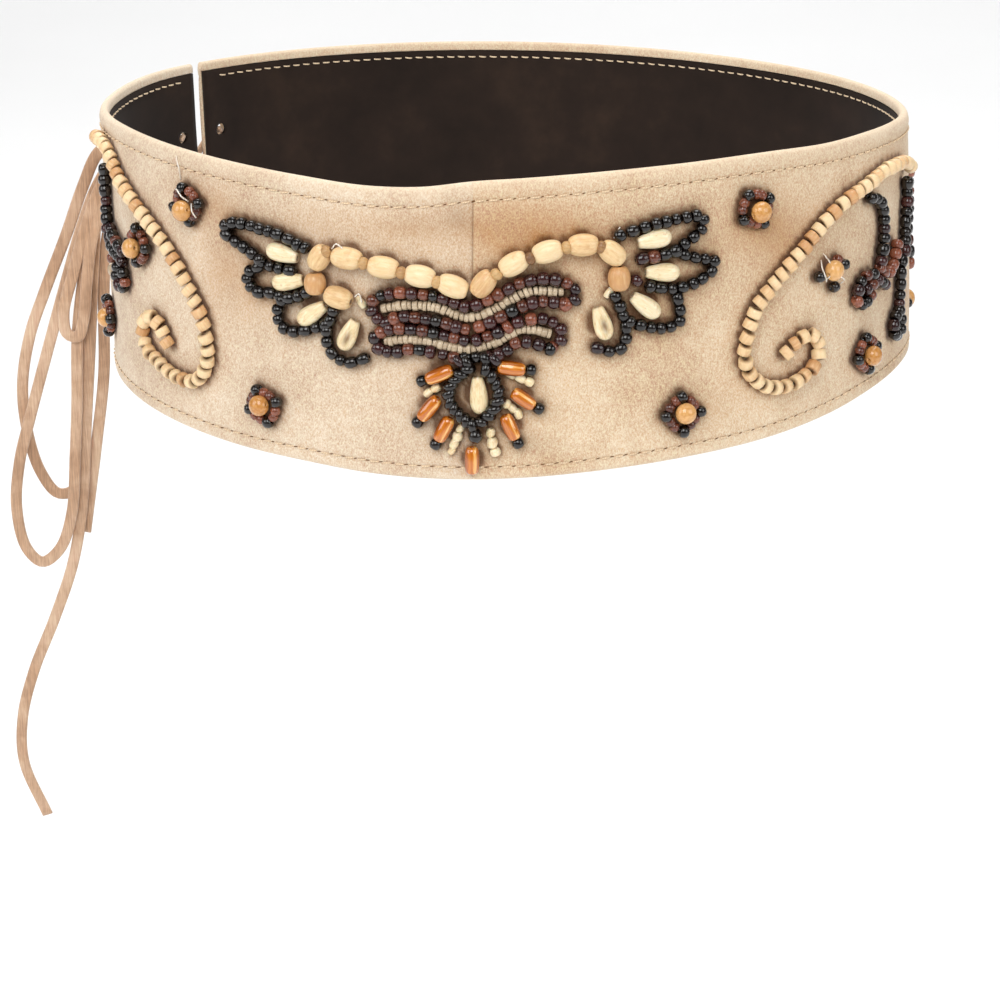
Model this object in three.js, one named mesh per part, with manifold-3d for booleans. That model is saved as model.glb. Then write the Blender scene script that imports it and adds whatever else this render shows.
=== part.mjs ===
import * as THREE from "three";
import { mergeVertices } from "three/addons/utils/BufferGeometryUtils.js";
import Module from "manifold-3d";

// A beaded suede belt that laces up at the left back, as it sits on a waist.
// Millimetres, +Z up, the front towards -Y. A place on the belt is given by three lengths:
// "along" runs round it from the seam at the centre front, positive towards +X,
// "up" is the height above the level of the lower edge, and "out" is square to the outer face.
// "rise" is up less half the belt's height, so that the ornament keeps to the middle of the belt.

const wasm = await Module();
wasm.setup();

// The belt's own sizes.
const beltHeight = 102;
const halfWidth = 151;
const halfDepthAtTop = 122;
const frontLean = 8; // how much further out the lower edge stands, at the front and at the back
const rightSpread = 1; // how much further out the right side stands than the left, at its upper edge
const rightLean = 6.8; // and how much more that gets towards its lower edge
const suedeThickness = 1.6;
const liningThickness = 1.2;
const hemWidth = 3.4; // suede turned in over the rims of the lining
const clearance = 0.3;
const stationSpacing = 13; // length of one flat facet of the walls, along the belt
const holeSpacing = 21;

// The closing: two edges with a row of punched holes each, a strap laced across and its knot.
const closureAlong = -286;
const closureGap = 6;
const holeInset = 8; // from an edge to the centres of its holes
const holeRadius = 2.4;
const holeRises = [-2, -1, 0, 1].map((row) => row * holeSpacing);
const laceWidth = 5;
const laceThickness = 1.8;
const knot = { alongRadius: 9, outRadius: 5.5, upRadius: 7.5 };

// Ornament.
const heishiRadius = 2.5;
const seedRadius = 1.9;
const ovalWidth = 7.6;
const shellWidth = 6.2;
const shellThickness = 4.6;
const glassWidth = 4.6;
const flowerRadius = 7.8;
const flowerHeight = 8.2;
const browThickness = 3.6;
const stringFacets = 5; // flat sides round a string of beads

// Colours, as roughness and metalness go with each.
const suede = () => new THREE.MeshStandardMaterial({ color: 0xdcc19f, roughness: 0.95, metalness: 0 });
const darkCloth = () => new THREE.MeshStandardMaterial({ color: 0x4a3a2e, roughness: 0.9, metalness: 0 });
const laceSuede = () => new THREE.MeshStandardMaterial({ color: 0xb08a68, roughness: 0.9, metalness: 0 });
const wood = () => new THREE.MeshStandardMaterial({ color: 0xe6c892, roughness: 0.45, metalness: 0 });
const shell = () => new THREE.MeshStandardMaterial({ color: 0xf2e2bc, roughness: 0.3, metalness: 0 });
const amberGlass = () => new THREE.MeshStandardMaterial({ color: 0xc0661e, roughness: 0.12, metalness: 0 });
const blackGlass = () => new THREE.MeshStandardMaterial({ color: 0x16161a, roughness: 0.12, metalness: 0 });
const brownGlass = () => new THREE.MeshStandardMaterial({ color: 0x4a2016, roughness: 0.15, metalness: 0 });

// The outer face is an ellipse at every height, a little deeper towards the lower edge. On the
// right, where it rides over the hip, it is wider towards the lower edge too.
const fallAt = (up) => 1 - up / beltHeight;
const halfDepthAt = (up) => halfDepthAtTop + frontLean * fallAt(up);
const halfWidthAt = (up, angle) => halfWidth + (angle > 0 ? rightSpread + rightLean * fallAt(up) : 0);

// Arc lengths round half of the plain ellipse at mid height, from the front to the back.
const arcSteps = 720;
const middleDepth = halfDepthAt(beltHeight / 2);
const arcLengths = [0];
for (let i = 1; i <= arcSteps; i++) {
  const angle = (Math.PI * (i - 0.5)) / arcSteps;
  const speed = Math.hypot(halfWidth * Math.cos(angle), middleDepth * Math.sin(angle));
  arcLengths.push(arcLengths[i - 1] + (speed * Math.PI) / arcSteps);
}
const girth = 2 * arcLengths[arcSteps];

function angleAt(along) {
  const nearest = along - girth * Math.round(along / girth);
  const length = Math.abs(nearest);
  const after = Math.max(1, arcLengths.findIndex((reached) => reached >= length));
  const share = (length - arcLengths[after - 1]) / (arcLengths[after] - arcLengths[after - 1]);
  return (Math.sign(nearest) * (after - 1 + share) * Math.PI) / arcSteps;
}

function onBelt(along, up, out) {
  const angle = angleAt(along);
  const [width, depth] = [halfWidthAt(up, angle), halfDepthAt(up)];
  const outward = new THREE.Vector3(Math.sin(angle) / width, -Math.cos(angle) / depth, 0);
  const point = new THREE.Vector3(width * Math.sin(angle), -depth * Math.cos(angle), up);
  return point.addScaledVector(outward.normalize(), out);
}

// How far the rims stray from level: at is a share of the girth, low and high of the height.
const rims = [
  { at: -0.5, low: 0.005, high: -0.02 },
  { at: -0.34, low: 0.01, high: -0.012 },
  { at: -0.3, low: 0.011, high: -0.008 },
  { at: -0.25, low: 0.012, high: -0.015 },
  { at: -0.17, low: 0.008, high: 0.002 },
  { at: -0.14, low: 0.002, high: -0.005 },
  { at: -0.1, low: -0.008, high: -0.02 },
  { at: -0.07, low: -0.014, high: -0.034 },
  { at: -0.04, low: -0.026, high: -0.048 },
  { at: -0.02, low: -0.028, high: -0.042 },
  { at: 0, low: -0.025, high: -0.019 },
  { at: 0.02, low: -0.017, high: -0.007 },
  { at: 0.04, low: -0.005, high: 0.004 },
  { at: 0.08, low: 0.02, high: 0.02 },
  { at: 0.12, low: 0.044, high: 0.028 },
  { at: 0.15, low: 0.069, high: 0.021 },
  { at: 0.18, low: 0.095, high: 0.02 },
  { at: 0.21, low: 0.105, high: 0.01 },
  { at: 0.25, low: 0.09, high: -0.012 },
  { at: 0.34, low: 0.04, high: -0.025 },
  { at: 0.5, low: 0.005, high: -0.02 },
];

function rimAt(along, column) {
  const at = along / girth - Math.round(along / girth);
  const after = Math.max(1, rims.findIndex((row) => row.at >= at));
  const [a, b] = [rims[after - 1], rims[after]];
  return beltHeight * THREE.MathUtils.mapLinear(at, a.at, b.at, a[column], b[column]);
}
const lowerRim = (along) => rimAt(along, "low");
const upperRim = (along) => beltHeight + rimAt(along, "high");

// A strip round the belt: its section, drawn as (depth under the outer face, height),
// is extruded along the belt in short steps, and place(along, height) says how far up each
// point of it goes.
function strip(section, from, to, steps, place) {
  const shape = new THREE.Shape(section.map(([depth, height]) => new THREE.Vector2(depth, height)));
  const geometry = new THREE.ExtrudeGeometry(shape, { depth: to - from, steps, bevelEnabled: false });
  const position = geometry.getAttribute("position");
  for (let i = 0; i < position.count; i++) {
    const along = from + position.getZ(i);
    const moved = onBelt(along, place(along, position.getY(i)), -position.getX(i));
    position.setXYZ(i, moved.x, moved.y, moved.z);
  }
  return geometry;
}

// Manifold solids, for the joins and the cuts.
function toSolid(geometry) {
  const bare = geometry.clone();
  bare.deleteAttribute("normal");
  bare.deleteAttribute("uv");
  const merged = mergeVertices(bare, 1e-3);
  return new wasm.Manifold(
    new wasm.Mesh({
      numProp: 3,
      vertProperties: merged.getAttribute("position").array,
      triVerts: new Uint32Array(merged.index.array),
    }),
  );
}

function toGeometry(solid) {
  const mesh = solid.getMesh();
  const geometry = new THREE.BufferGeometry();
  geometry.setAttribute("position", new THREE.BufferAttribute(mesh.vertProperties, mesh.numProp));
  geometry.setIndex(new THREE.BufferAttribute(mesh.triVerts, 1));
  return geometry;
}

// Axes at a place on the belt: X along its face, turned by tilt degrees towards up, Z outwards.
function axesAt(along, up, out, tilt) {
  const origin = onBelt(along, up, out);
  const across = onBelt(along + 1, up, out).sub(onBelt(along - 1, up, out)).normalize();
  const upward = onBelt(along, up + 1, out).sub(origin).normalize();
  const outward = new THREE.Vector3().crossVectors(across, upward).normalize();
  const turned = across.clone().applyAxisAngle(outward, THREE.MathUtils.degToRad(tilt));
  const side = new THREE.Vector3().crossVectors(outward, turned);
  return new THREE.Matrix4().makeBasis(turned, side, outward).setPosition(origin);
}

const belt = new THREE.Group();
belt.name = "beaded_belt";

function add(name, geometry, material, matrix) {
  const mesh = new THREE.Mesh(geometry, material);
  mesh.name = name;
  if (matrix) mesh.applyMatrix4(matrix);
  belt.add(mesh);
}

// The holes for the lacing, as pins to cut with. A pin's own axis is its Y.
const holeAlongs = [-1, 1].map((side) => closureAlong + side * (closureGap / 2 + holeInset));
const beltThickness = suedeThickness + clearance + liningThickness;
const pins = holeAlongs.flatMap((along) =>
  holeRises.map((rise) => {
    const pin = new THREE.CylinderGeometry(holeRadius, holeRadius, 4 * beltThickness, 8);
    pin.rotateX(Math.PI / 2);
    return toSolid(pin.applyMatrix4(axesAt(along, beltHeight / 2 + rise, 0, 0)));
  }),
);
const punched = (geometry) => toGeometry(pins.reduce((left, pin) => left.subtract(pin), toSolid(geometry)));

// The outer panels: suede with a hem turned in at both rims. A section's height counts from
// the lower rim where it is under half the belt, and from the upper one where it is over.
const nearRims = (along, height) =>
  height < beltHeight / 2 ? lowerRim(along) + height : upperRim(along) + height - beltHeight;
const panelSection = [
  [0, 0],
  [beltThickness, 0],
  [beltThickness, hemWidth],
  [suedeThickness, hemWidth],
  [suedeThickness, beltHeight - hemWidth],
  [beltThickness, beltHeight - hemWidth],
  [beltThickness, beltHeight],
  [0, beltHeight],
];
const liningSection = [
  [suedeThickness + clearance, hemWidth + clearance],
  [beltThickness, hemWidth + clearance],
  [beltThickness, beltHeight - hemWidth - clearance],
  [suedeThickness + clearance, beltHeight - hemWidth - clearance],
];
const edgeBefore = closureAlong + closureGap / 2;
const edgeAfter = closureAlong - closureGap / 2 + girth;
const stepsFor = (length) => Math.round(length / stationSpacing);

function panel(name, section, from, to, material) {
  add(name, punched(strip(section, from, to, stepsFor(to - from), nearRims)), material);
}
panel("left_panel", panelSection, edgeBefore, -clearance / 2, suede());
panel("right_panel", panelSection, clearance / 2, edgeAfter, suede());
panel("lining", liningSection, edgeBefore, edgeAfter, darkCloth());

// The section of a flat strap: its thickness is the first direction, its width the second.
function strapShape() {
  const [thin, wide] = [laceThickness / 2, laceWidth / 2];
  const corner = thin / 2;
  return new THREE.Shape([
    new THREE.Vector2(thin, wide - corner),
    new THREE.Vector2(corner, wide),
    new THREE.Vector2(-corner, wide),
    new THREE.Vector2(-thin, wide - corner),
    new THREE.Vector2(-thin, corner - wide),
    new THREE.Vector2(-corner, -wide),
    new THREE.Vector2(corner, -wide),
    new THREE.Vector2(thin, corner - wide),
  ]);
}

// The lacing: crossed straps from hole to hole over the outer face, joined to the knot.
const barWidth = 2.8; // the strap is gathered where it is laced
const laceOut = laceThickness / 2 + clearance;
const holeSink = 1; // how far a strap's end dips into its hole
const kneeRadius = holeRadius / 2; // where a strap is level again, still over its hole
function lacingBar(fromHole, toHole) {
  const direction = new THREE.Vector2().subVectors(toHole, fromHole).normalize();
  const fromKnee = fromHole.clone().addScaledVector(direction, kneeRadius);
  const toKnee = toHole.clone().addScaledVector(direction, -kneeRadius);
  const middle = new THREE.Vector2().lerpVectors(fromHole, toHole, 0.5);
  const stops = [
    [fromHole, -holeSink],
    [fromKnee, laceOut],
    [middle, laceOut + clearance],
    [toKnee, laceOut],
    [toHole, -holeSink],
  ];
  const bar = new THREE.BoxGeometry(1, barWidth, laceThickness, stops.length - 1, 1, 1);
  const position = bar.getAttribute("position");
  const side = new THREE.Vector2(-direction.y, direction.x);
  for (let i = 0; i < position.count; i++) {
    const [spot, out] = stops[Math.round((position.getX(i) + 0.5) * (stops.length - 1))];
    const at = spot.clone().addScaledVector(side, position.getY(i));
    const moved = onBelt(at.x, at.y, out + position.getZ(i));
    position.setXYZ(i, moved.x, moved.y, moved.z);
  }
  return toSolid(bar);
}
const holeAt = (side, row) => new THREE.Vector2(holeAlongs[side], beltHeight / 2 + holeRises[row]);
const bars = [lacingBar(holeAt(0, 0), holeAt(1, 0))];
for (let row = 0; row + 1 < holeRises.length; row++) {
  bars.push(lacingBar(holeAt(0, row), holeAt(1, row + 1)));
  bars.push(lacingBar(holeAt(1, row), holeAt(0, row + 1)));
}
const knotUp = (holeAt(0, 2).y + holeAt(0, 3).y) / 2; // over a crossing of the straps
const knotOut = knot.outRadius + 1;
const knotBall = new THREE.SphereGeometry(1, 10, 6);
knotBall.scale(knot.alongRadius, knot.upRadius, knot.outRadius);
knotBall.applyMatrix4(axesAt(closureAlong, knotUp, knotOut, 0));
bars.push(toSolid(knotBall));
add("lacing", toGeometry(wasm.Manifold.union(bars)), laceSuede());

// The free laces hang from the knot, flat to the front. Each keeps to a depth of its own.
const laces = [
  {
    name: "lace_short_loop",
    depth: 61.5,
    steps: 14,
    route: [
      [-143, 64.6], [-152, 65.5], [-164, 60], [-172, 47.5], [-179, 31], [-186, 10], [-191, -7],
      [-190, -16], [-185.5, -17], [-182.5, -9], [-180, 8], [-176, 28], [-169, 43], [-157, 53],
      [-143, 58.4],
    ],
  },
  {
    name: "lace_long_loop",
    depth: 63.8,
    steps: 24,
    route: [
      [-143, 64.6], [-152, 66.5], [-164, 61], [-173, 49], [-181, 31], [-188, 11], [-199, -22],
      [-210, -56], [-216, -76], [-219, -98], [-216, -117], [-209.5, -123.5], [-201, -117],
      [-194.5, -100], [-191, -72], [-188.5, -47], [-186.5, -19], [-183, 3], [-177, 27],
      [-170.5, 41.5], [-158, 53], [-143, 58.4],
    ],
  },
  {
    name: "lace_long_end",
    depth: 66.1,
    steps: 16,
    route: [
      [-142.7, 64.6], [-155, 64], [-167, 57], [-173.5, 44], [-178, 12], [-182, -25], [-186, -60],
      [-190, -96], [-196, -124], [-206, -151], [-218, -179], [-225, -203], [-226, -226],
      [-217, -253],
    ],
  },
  {
    name: "lace_short_end",
    depth: 68.4,
    steps: 10,
    route: [
      [-142, 58.4], [-154, 57], [-165, 48], [-172, 24], [-175, -2], [-177, -35], [-182, -66],
      [-190, -110],
    ],
  },
  {
    name: "lace_outer_loop",
    depth: 70.7,
    steps: 20,
    route: [
      [-141.3, 64.6], [-152, 68.5], [-164, 67.5], [-174, 60.5], [-181, 47], [-190, 25], [-201, 0],
      [-209, -20], [-214, -43], [-213.5, -64], [-209, -83], [-202, -93], [-195, -91.5],
      [-191, -77], [-188, -49], [-185, -17], [-181, 10], [-175.5, 33], [-168, 46], [-156, 55],
      [-141.3, 58.4],
    ],
  },
];
for (const lace of laces) {
  const points = lace.route.map(([x, z]) => new THREE.Vector3(x, lace.depth, z));
  const extrudePath = new THREE.CatmullRomCurve3(points, false, "centripetal");
  add(lace.name, new THREE.ExtrudeGeometry(strapShape(), { extrudePath, steps: lace.steps }), laceSuede());
}

// A turned bead with its bore along its length, lying on the belt. Its profile's columns are the
// radius as a share of half the width and the place as a share of half the length.
function lyingBead(name, profile, spot, size, material) {
  const [halfSize, halfLength] = [size.width / 2, size.length / 2];
  const points = profile.map((row) => new THREE.Vector2(row.radius * halfSize, row.at * halfLength));
  const bead = new THREE.LatheGeometry(points, 10);
  bead.scale(1, 1, size.thickness / size.width);
  bead.rotateZ(-Math.PI / 2);
  const out = size.thickness / 2 + clearance;
  add(name, bead, material, axesAt(spot.along, beltHeight / 2 + spot.rise, out, spot.tilt));
}

const ovalProfile = [
  { radius: 0, at: -1 },
  { radius: 0.56, at: -1 },
  { radius: 0.93, at: -0.5 },
  { radius: 1, at: 0 },
  { radius: 0.93, at: 0.5 },
  { radius: 0.56, at: 1 },
  { radius: 0, at: 1 },
];
const shellProfile = [
  { radius: 0, at: -1 },
  { radius: 0.54, at: -1 },
  { radius: 0.89, at: -0.3 },
  { radius: 1, at: 0.3 },
  { radius: 0.7, at: 0.86 },
  { radius: 0, at: 1 },
];
const glassProfile = [
  { radius: 0, at: -1 },
  { radius: 0.8, at: -1 },
  { radius: 1, at: -0.8 },
  { radius: 1, at: 0.8 },
  { radius: 0.8, at: 1 },
  { radius: 0, at: 1 },
];

// The brow of oval wooden beads, over each wing from the centre outwards.
const ovals = [
  { name: "left_oval_1", along: -6.1, rise: 15.3, tilt: -19, length: 10.4 },
  { name: "left_oval_2", along: -16.9, rise: 18.3, tilt: -9, length: 10.2 },
  { name: "left_oval_3", along: -29.2, rise: 20.6, tilt: -6, length: 10.4 },
  { name: "left_oval_4", along: -41.8, rise: 22.7, tilt: -4, length: 10.6 },
  { name: "left_oval_5", along: -51.6, rise: 21.9, tilt: 60, length: 8.6 },
  { name: "left_oval_6", along: -53.4, rise: 12.8, tilt: -86, length: 7.4 },
  { name: "left_oval_7", along: -45.1, rise: 8.9, tilt: -13, length: 9.6 },
  { name: "right_oval_1", along: 3.8, rise: 16.4, tilt: 52, length: 9.4 },
  { name: "right_oval_2", along: 13.4, rise: 23.1, tilt: 29, length: 9.8 },
  { name: "right_oval_3", along: 24.2, rise: 27.1, tilt: 15, length: 10 },
  { name: "right_oval_4", along: 35.7, rise: 29.1, tilt: 1, length: 10 },
  { name: "right_oval_5", along: 45.2, rise: 26, tilt: -38, length: 9.2 },
  { name: "right_oval_6", along: 47.4, rise: 17.4, tilt: -88, length: 8.2 },
];
for (const oval of ovals) {
  const size = { width: ovalWidth, thickness: ovalWidth, length: oval.length };
  lyingBead(oval.name, ovalProfile, oval, size, wood());
}

// The drops cut from shell, wide at the end that tilt points to.
const shells = [
  { name: "left_shell_1", along: -66.4, rise: 21.2, tilt: 172, length: 12.4 },
  { name: "left_shell_2", along: -64.4, rise: 11.8, tilt: -168, length: 12.4 },
  { name: "left_shell_3", along: -55.5, rise: 1.8, tilt: -145, length: 12.4 },
  { name: "left_shell_4", along: -42.2, rise: -4.1, tilt: -115, length: 11.8 },
  { name: "right_shell_1", along: 59.6, rise: 29.3, tilt: 8, length: 12 },
  { name: "right_shell_2", along: 62.3, rise: 18, tilt: -5, length: 12.2 },
  { name: "right_shell_3", along: 56.5, rise: 7.1, tilt: -38, length: 12.2 },
  { name: "right_shell_4", along: 42.1, rise: 2.1, tilt: -73, length: 12 },
  { name: "centre_shell", along: 2.3, rise: -22.3, tilt: -86, length: 13 },
];
for (const drop of shells) {
  const size = { width: shellWidth, thickness: shellThickness, length: drop.length };
  lyingBead(drop.name, shellProfile, drop, size, shell());
}

// The glass tubes that fan out under the centre.
const glassTubes = [
  { name: "glass_left_1", along: -10.8, rise: -15.6, tilt: 24, length: 10 },
  { name: "glass_left_2", along: -14.3, rise: -27.6, tilt: 52, length: 10 },
  { name: "glass_left_3", along: -9.3, rise: -34.6, tilt: 63, length: 9.4 },
  { name: "glass_centre", along: 0.2, rise: -45.2, tilt: 90, length: 9.6 },
  { name: "glass_right_3", along: 12.4, rise: -33.2, tilt: -66, length: 9.4 },
  { name: "glass_right_2", along: 16.6, rise: -23.4, tilt: -35, length: 9 },
  { name: "glass_right_1", along: 12.8, rise: -12.8, tilt: -6, length: 9.4 },
];
for (const tube of glassTubes) {
  const size = { width: glassWidth, thickness: glassWidth, length: tube.length };
  lyingBead(tube.name, glassProfile, tube, size, amberGlass());
}

// The flowers: a ring of eight seed beads, in one with the domed bead in their middle.
const flowerProfile = [
  { radius: 0, height: 0, lobed: 0 },
  { radius: 0.92, height: 0, lobed: 1 },
  { radius: 0.92, height: 0.47, lobed: 1 },
  { radius: 0.5, height: 0.43, lobed: 0 },
  { radius: 0.48, height: 0.8, lobed: 0 },
  { radius: 0, height: 1, lobed: 0 },
];
const petals = 8;
const lobeDepth = 0.12; // how far the ring's outline goes in between two seed beads
function flower(name, along, rise) {
  const points = flowerProfile.map(
    (row) => new THREE.Vector2(row.radius * flowerRadius, row.height * flowerHeight),
  );
  const head = new THREE.LatheGeometry(points, 2 * petals);
  const position = head.getAttribute("position");
  for (let i = 0; i < position.count; i++) {
    const row = flowerProfile[i % flowerProfile.length];
    const column = Math.floor(i / flowerProfile.length);
    const scale = row.lobed * (column % 2) ? 1 - lobeDepth : 1;
    position.setXYZ(i, position.getX(i) * scale, position.getY(i), position.getZ(i) * scale);
  }
  head.rotateX(Math.PI / 2);
  add(name, head, wood(), axesAt(along, beltHeight / 2 + rise, clearance, 0));
}
const flowers = [
  { name: "flower_1", along: -108, rise: 32 },
  { name: "flower_2", along: -139, rise: 11.2 },
  { name: "flower_3", along: -76, rise: -34 },
  { name: "flower_4", along: -179, rise: -26 },
  { name: "flower_5", along: 97, rise: 36 },
  { name: "flower_6", along: 130, rise: 9.3 },
  { name: "flower_7", along: 69.5, rise: -32 },
  { name: "flower_8", along: 150.5, rise: -25.5 },
  { name: "flower_9", along: 240, rise: -31 },
];
for (const head of flowers) flower(head.name, head.along, head.rise);

// Strings of beads, as plain tubes on the face of the belt. Their routes are (along, rise).
const heishiRoutes = {
  left_scroll: [
    [-177, 42.6], [-170, 42.4], [-163, 40.5], [-152, 33], [-142, 27.5], [-132, 22.5], [-123, 17],
    [-114.5, 9.5], [-108.5, 2], [-103, -6], [-100.5, -14], [-100, -21], [-102.5, -27.5],
    [-107, -31], [-114, -32], [-121, -31], [-128, -28.5], [-134.5, -25.5], [-137, -19.5],
    [-134.5, -15], [-130.5, -13], [-126, -14.5], [-121.5, -20.5],
  ],
  right_scroll: [
    [189.5, 34.5], [184.5, 36.8], [178.5, 38.4], [170.5, 39], [162.5, 39], [148.5, 36],
    [137.5, 33], [127.5, 28], [119.5, 22], [109.5, 14], [102.5, 8], [97, 2], [93.5, -6], [92, -14],
    [94, -21], [99.5, -26], [107, -28], [115, -26.5], [121.5, -22.5], [123.5, -16.5], [119.5, -11.5],
    [114, -12.5], [109, -16],
  ],
};
const seedRoutes = {
  left_wing: [
    [-57.5, 24], [-66, 27], [-77, 29], [-86, 29.5], [-90, 27], [-83, 21.5], [-76, 17],
    [-78.5, 13.5], [-81, 10], [-78, 7], [-71, 6.5], [-66, 5], [-69, -1], [-67, -5.4], [-58, -4.9],
    [-51.5, -4.5], [-49.5, -9], [-46, -12.5], [-43, -14], [-38, -12],
  ],
  right_wing: [
    [49, 32.5], [59, 35], [68, 35.5], [76.5, 35], [75, 30], [68, 25.5], [72, 23.3], [80.5, 20.3],
    [78, 15.5], [71.5, 12.5], [68, 8.5], [68.5, 1], [64, -1], [56, -0.5], [51.5, -2.5],
    [49.5, -7.5], [42.5, -7.5],
  ],
  centre_ring: [
    [0, -14], [-5, -17.5], [-8.5, -22], [-7.5, -26.5], [-3.5, -30.5], [1, -33.5], [5, -31],
    [8.5, -26.5], [9.5, -21.5], [7.5, -16.5], [4, -13],
  ],
  left_pendant: [
    [-170.5, 32], [-170.5, 23], [-170, 15], [-168.5, 9.5], [-164.5, 5.5], [-157.5, 3.5], [-153, -3],
  ],
  right_pendant: [
    [153.5, 30], [160, 26.5], [162, 19.5], [161.5, 12.5], [159.5, 5.5], [154.5, 2], [147.5, 0], [145, -5.5],
  ],
  right_stem: [
    [186, 28.5], [186.5, 21.5], [184, 13], [182, 5], [178, -2], [176.5, -10], [174.5, -17], [171.5, -23],
  ],
  right_edge_string: [
    [230.5, 22], [231, 11], [231, 0], [230.5, -14],
  ],
};

function beadString(name, route, radius, spacing, material) {
  const points = route.map(([along, rise]) => onBelt(along, beltHeight / 2 + rise, radius + clearance));
  const extrudePath = new THREE.CatmullRomCurve3(points, false, "centripetal");
  const circle = new THREE.Path().absarc(0, 0, radius, 0, 2 * Math.PI);
  const section = new THREE.Shape(circle.getPoints(stringFacets).slice(0, -1));
  const steps = Math.round(extrudePath.getLength() / spacing);
  add(name, new THREE.ExtrudeGeometry(section, { extrudePath, steps }), material);
}
for (const [name, route] of Object.entries(heishiRoutes)) {
  beadString(name, route, heishiRadius, 4 * heishiRadius, wood());
}
for (const [name, route] of Object.entries(seedRoutes)) {
  beadString(name, route, seedRadius, 4 * seedRadius, blackGlass());
}

// The two beaded bands in the shape of a moustache. Their rows give the edges at each along.
const browBands = {
  upper_band: [
    { along: -35, low: 5, high: 9.5 },
    { along: -31, low: 1, high: 12.6 },
    { along: -25, low: 1.4, high: 13.2 },
    { along: -17, low: 1.4, high: 13.4 },
    { along: -9, low: 0, high: 12.6 },
    { along: -1, low: -1.2, high: 10.4 },
    { along: 6, low: 2.2, high: 13 },
    { along: 13, low: 5.4, high: 17 },
    { along: 20, low: 8, high: 19.2 },
    { along: 28, low: 7.2, high: 18.6 },
    { along: 35, low: 7.6, high: 14.6 },
  ],
  lower_band: [
    { along: -33, low: -8, high: -2 },
    { along: -28, low: -10.4, high: 0.6 },
    { along: -22, low: -9, high: 0.7 },
    { along: -15, low: -9.4, high: 0.2 },
    { along: -8, low: -10.8, high: -1 },
    { along: -1, low: -12, high: -2 },
    { along: 6, low: -11, high: 0.2 },
    { along: 13, low: -6.8, high: 4.2 },
    { along: 20, low: -6.4, high: 6.4 },
    { along: 27, low: -8.2, high: 5.4 },
    { along: 32, low: -4, high: 2.6 },
  ],
};
function browBand(name, rows) {
  const section = [
    [-browThickness - clearance, 0.14],
    [-browThickness - clearance, 0.86],
    [-browThickness / 2, 1],
    [-clearance, 0.94],
    [-clearance, 0.06],
    [-browThickness / 2, 0],
  ].reverse();
  const [first, last] = [rows[0], rows[rows.length - 1]];
  const edgesAt = (along) => {
    const after = Math.max(1, rows.findIndex((row) => row.along >= along - 1e-3));
    const [a, b] = [rows[after - 1], rows[after]];
    const between = (column) => THREE.MathUtils.mapLinear(along, a.along, b.along, a[column], b[column]);
    return [between("low"), between("high")];
  };
  const place = (along, share) => beltHeight / 2 + THREE.MathUtils.lerp(...edgesAt(along), share);
  const steps = 2 * (rows.length - 1);
  add(name, strip(section, first.along, last.along, steps, place), brownGlass());
}
for (const [name, rows] of Object.entries(browBands)) browBand(name, rows);

export default belt;
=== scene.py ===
import bpy
import numpy as np
from mathutils import Matrix


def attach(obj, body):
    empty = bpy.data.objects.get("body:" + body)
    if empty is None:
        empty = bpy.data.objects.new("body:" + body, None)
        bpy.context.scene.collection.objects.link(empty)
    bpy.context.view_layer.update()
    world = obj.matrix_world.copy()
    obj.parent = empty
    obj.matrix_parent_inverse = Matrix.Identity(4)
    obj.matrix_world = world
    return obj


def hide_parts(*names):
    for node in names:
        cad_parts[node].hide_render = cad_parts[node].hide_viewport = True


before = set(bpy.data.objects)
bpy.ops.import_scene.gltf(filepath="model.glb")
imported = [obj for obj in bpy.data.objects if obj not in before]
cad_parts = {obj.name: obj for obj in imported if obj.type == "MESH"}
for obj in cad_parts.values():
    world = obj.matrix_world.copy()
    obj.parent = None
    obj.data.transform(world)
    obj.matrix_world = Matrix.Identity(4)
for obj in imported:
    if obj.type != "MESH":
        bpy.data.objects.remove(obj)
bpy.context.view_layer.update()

# A beaded suede belt on its waist. Tables are in millimetres, meshes in metres.
# along: round the belt from the centre-front seam, positive towards +X
# up: height above the lower edge's level; rise: up less half the height; out: square to the face
millimetre = 0.001
belt = {
    "height": 102, "halfWidth": 151, "halfDepth": 122, "frontLean": 8, "rightSpread": 1, "rightLean": 6.8,
    "suede": 1.6, "lining": 1.2, "hem": 3.4, "gap": 0.3,
}
belt["thickness"] = belt["suede"] + belt["gap"] + belt["lining"]
closure = {"along": -286, "gap": 6, "inset": 8, "hole": 2.4, "rises": (-42, -21, 0, 21)}
dice = np.random.default_rng(7)

view = {
    "azimuth": 4.354, "pitch": 21.919, "distance": 0.950, "across": -0.0003, "height": -0.0619,
    "lens": 84.678,
    "sensor": 36,
}


def addObject(name, data):
    made = bpy.data.objects.new(name, data)
    bpy.context.scene.collection.objects.link(made)
    return made


def aim(thing, spot, right, back):
    # X to the thing's right, Z away from what it looks at
    turn = np.eye(4)
    turn[:3, 0], turn[:3, 1], turn[:3, 2], turn[:3, 3] = right, np.cross(back, right), back, spot
    thing.matrix_world = Matrix(turn.tolist())


def unit(vectors):
    return vectors / np.linalg.norm(vectors, axis=-1, keepdims=True)


def hump(distance, width):
    # the bell curve, 1 at no distance and 0.37 at one width
    return np.exp(-((distance / width) ** 2))


def placeCamera():
    # on a sphere round the origin, moved a little across and down
    azimuth, pitch = np.radians([view["azimuth"], view["pitch"]])
    back = np.array([np.sin(azimuth) * np.cos(pitch), -np.cos(azimuth) * np.cos(pitch), np.sin(pitch)])
    right = np.array([np.cos(azimuth), np.sin(azimuth), 0])
    data = bpy.data.cameras.new("camera")
    data.lens, data.sensor_width = view["lens"], view["sensor"]
    camera = addObject("camera", data)
    aim(camera, back * view["distance"] + right * view["across"] + (0, 0, view["height"]), right, back)
    bpy.context.scene.camera = camera


placeCamera()
print("camera placed")


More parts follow.
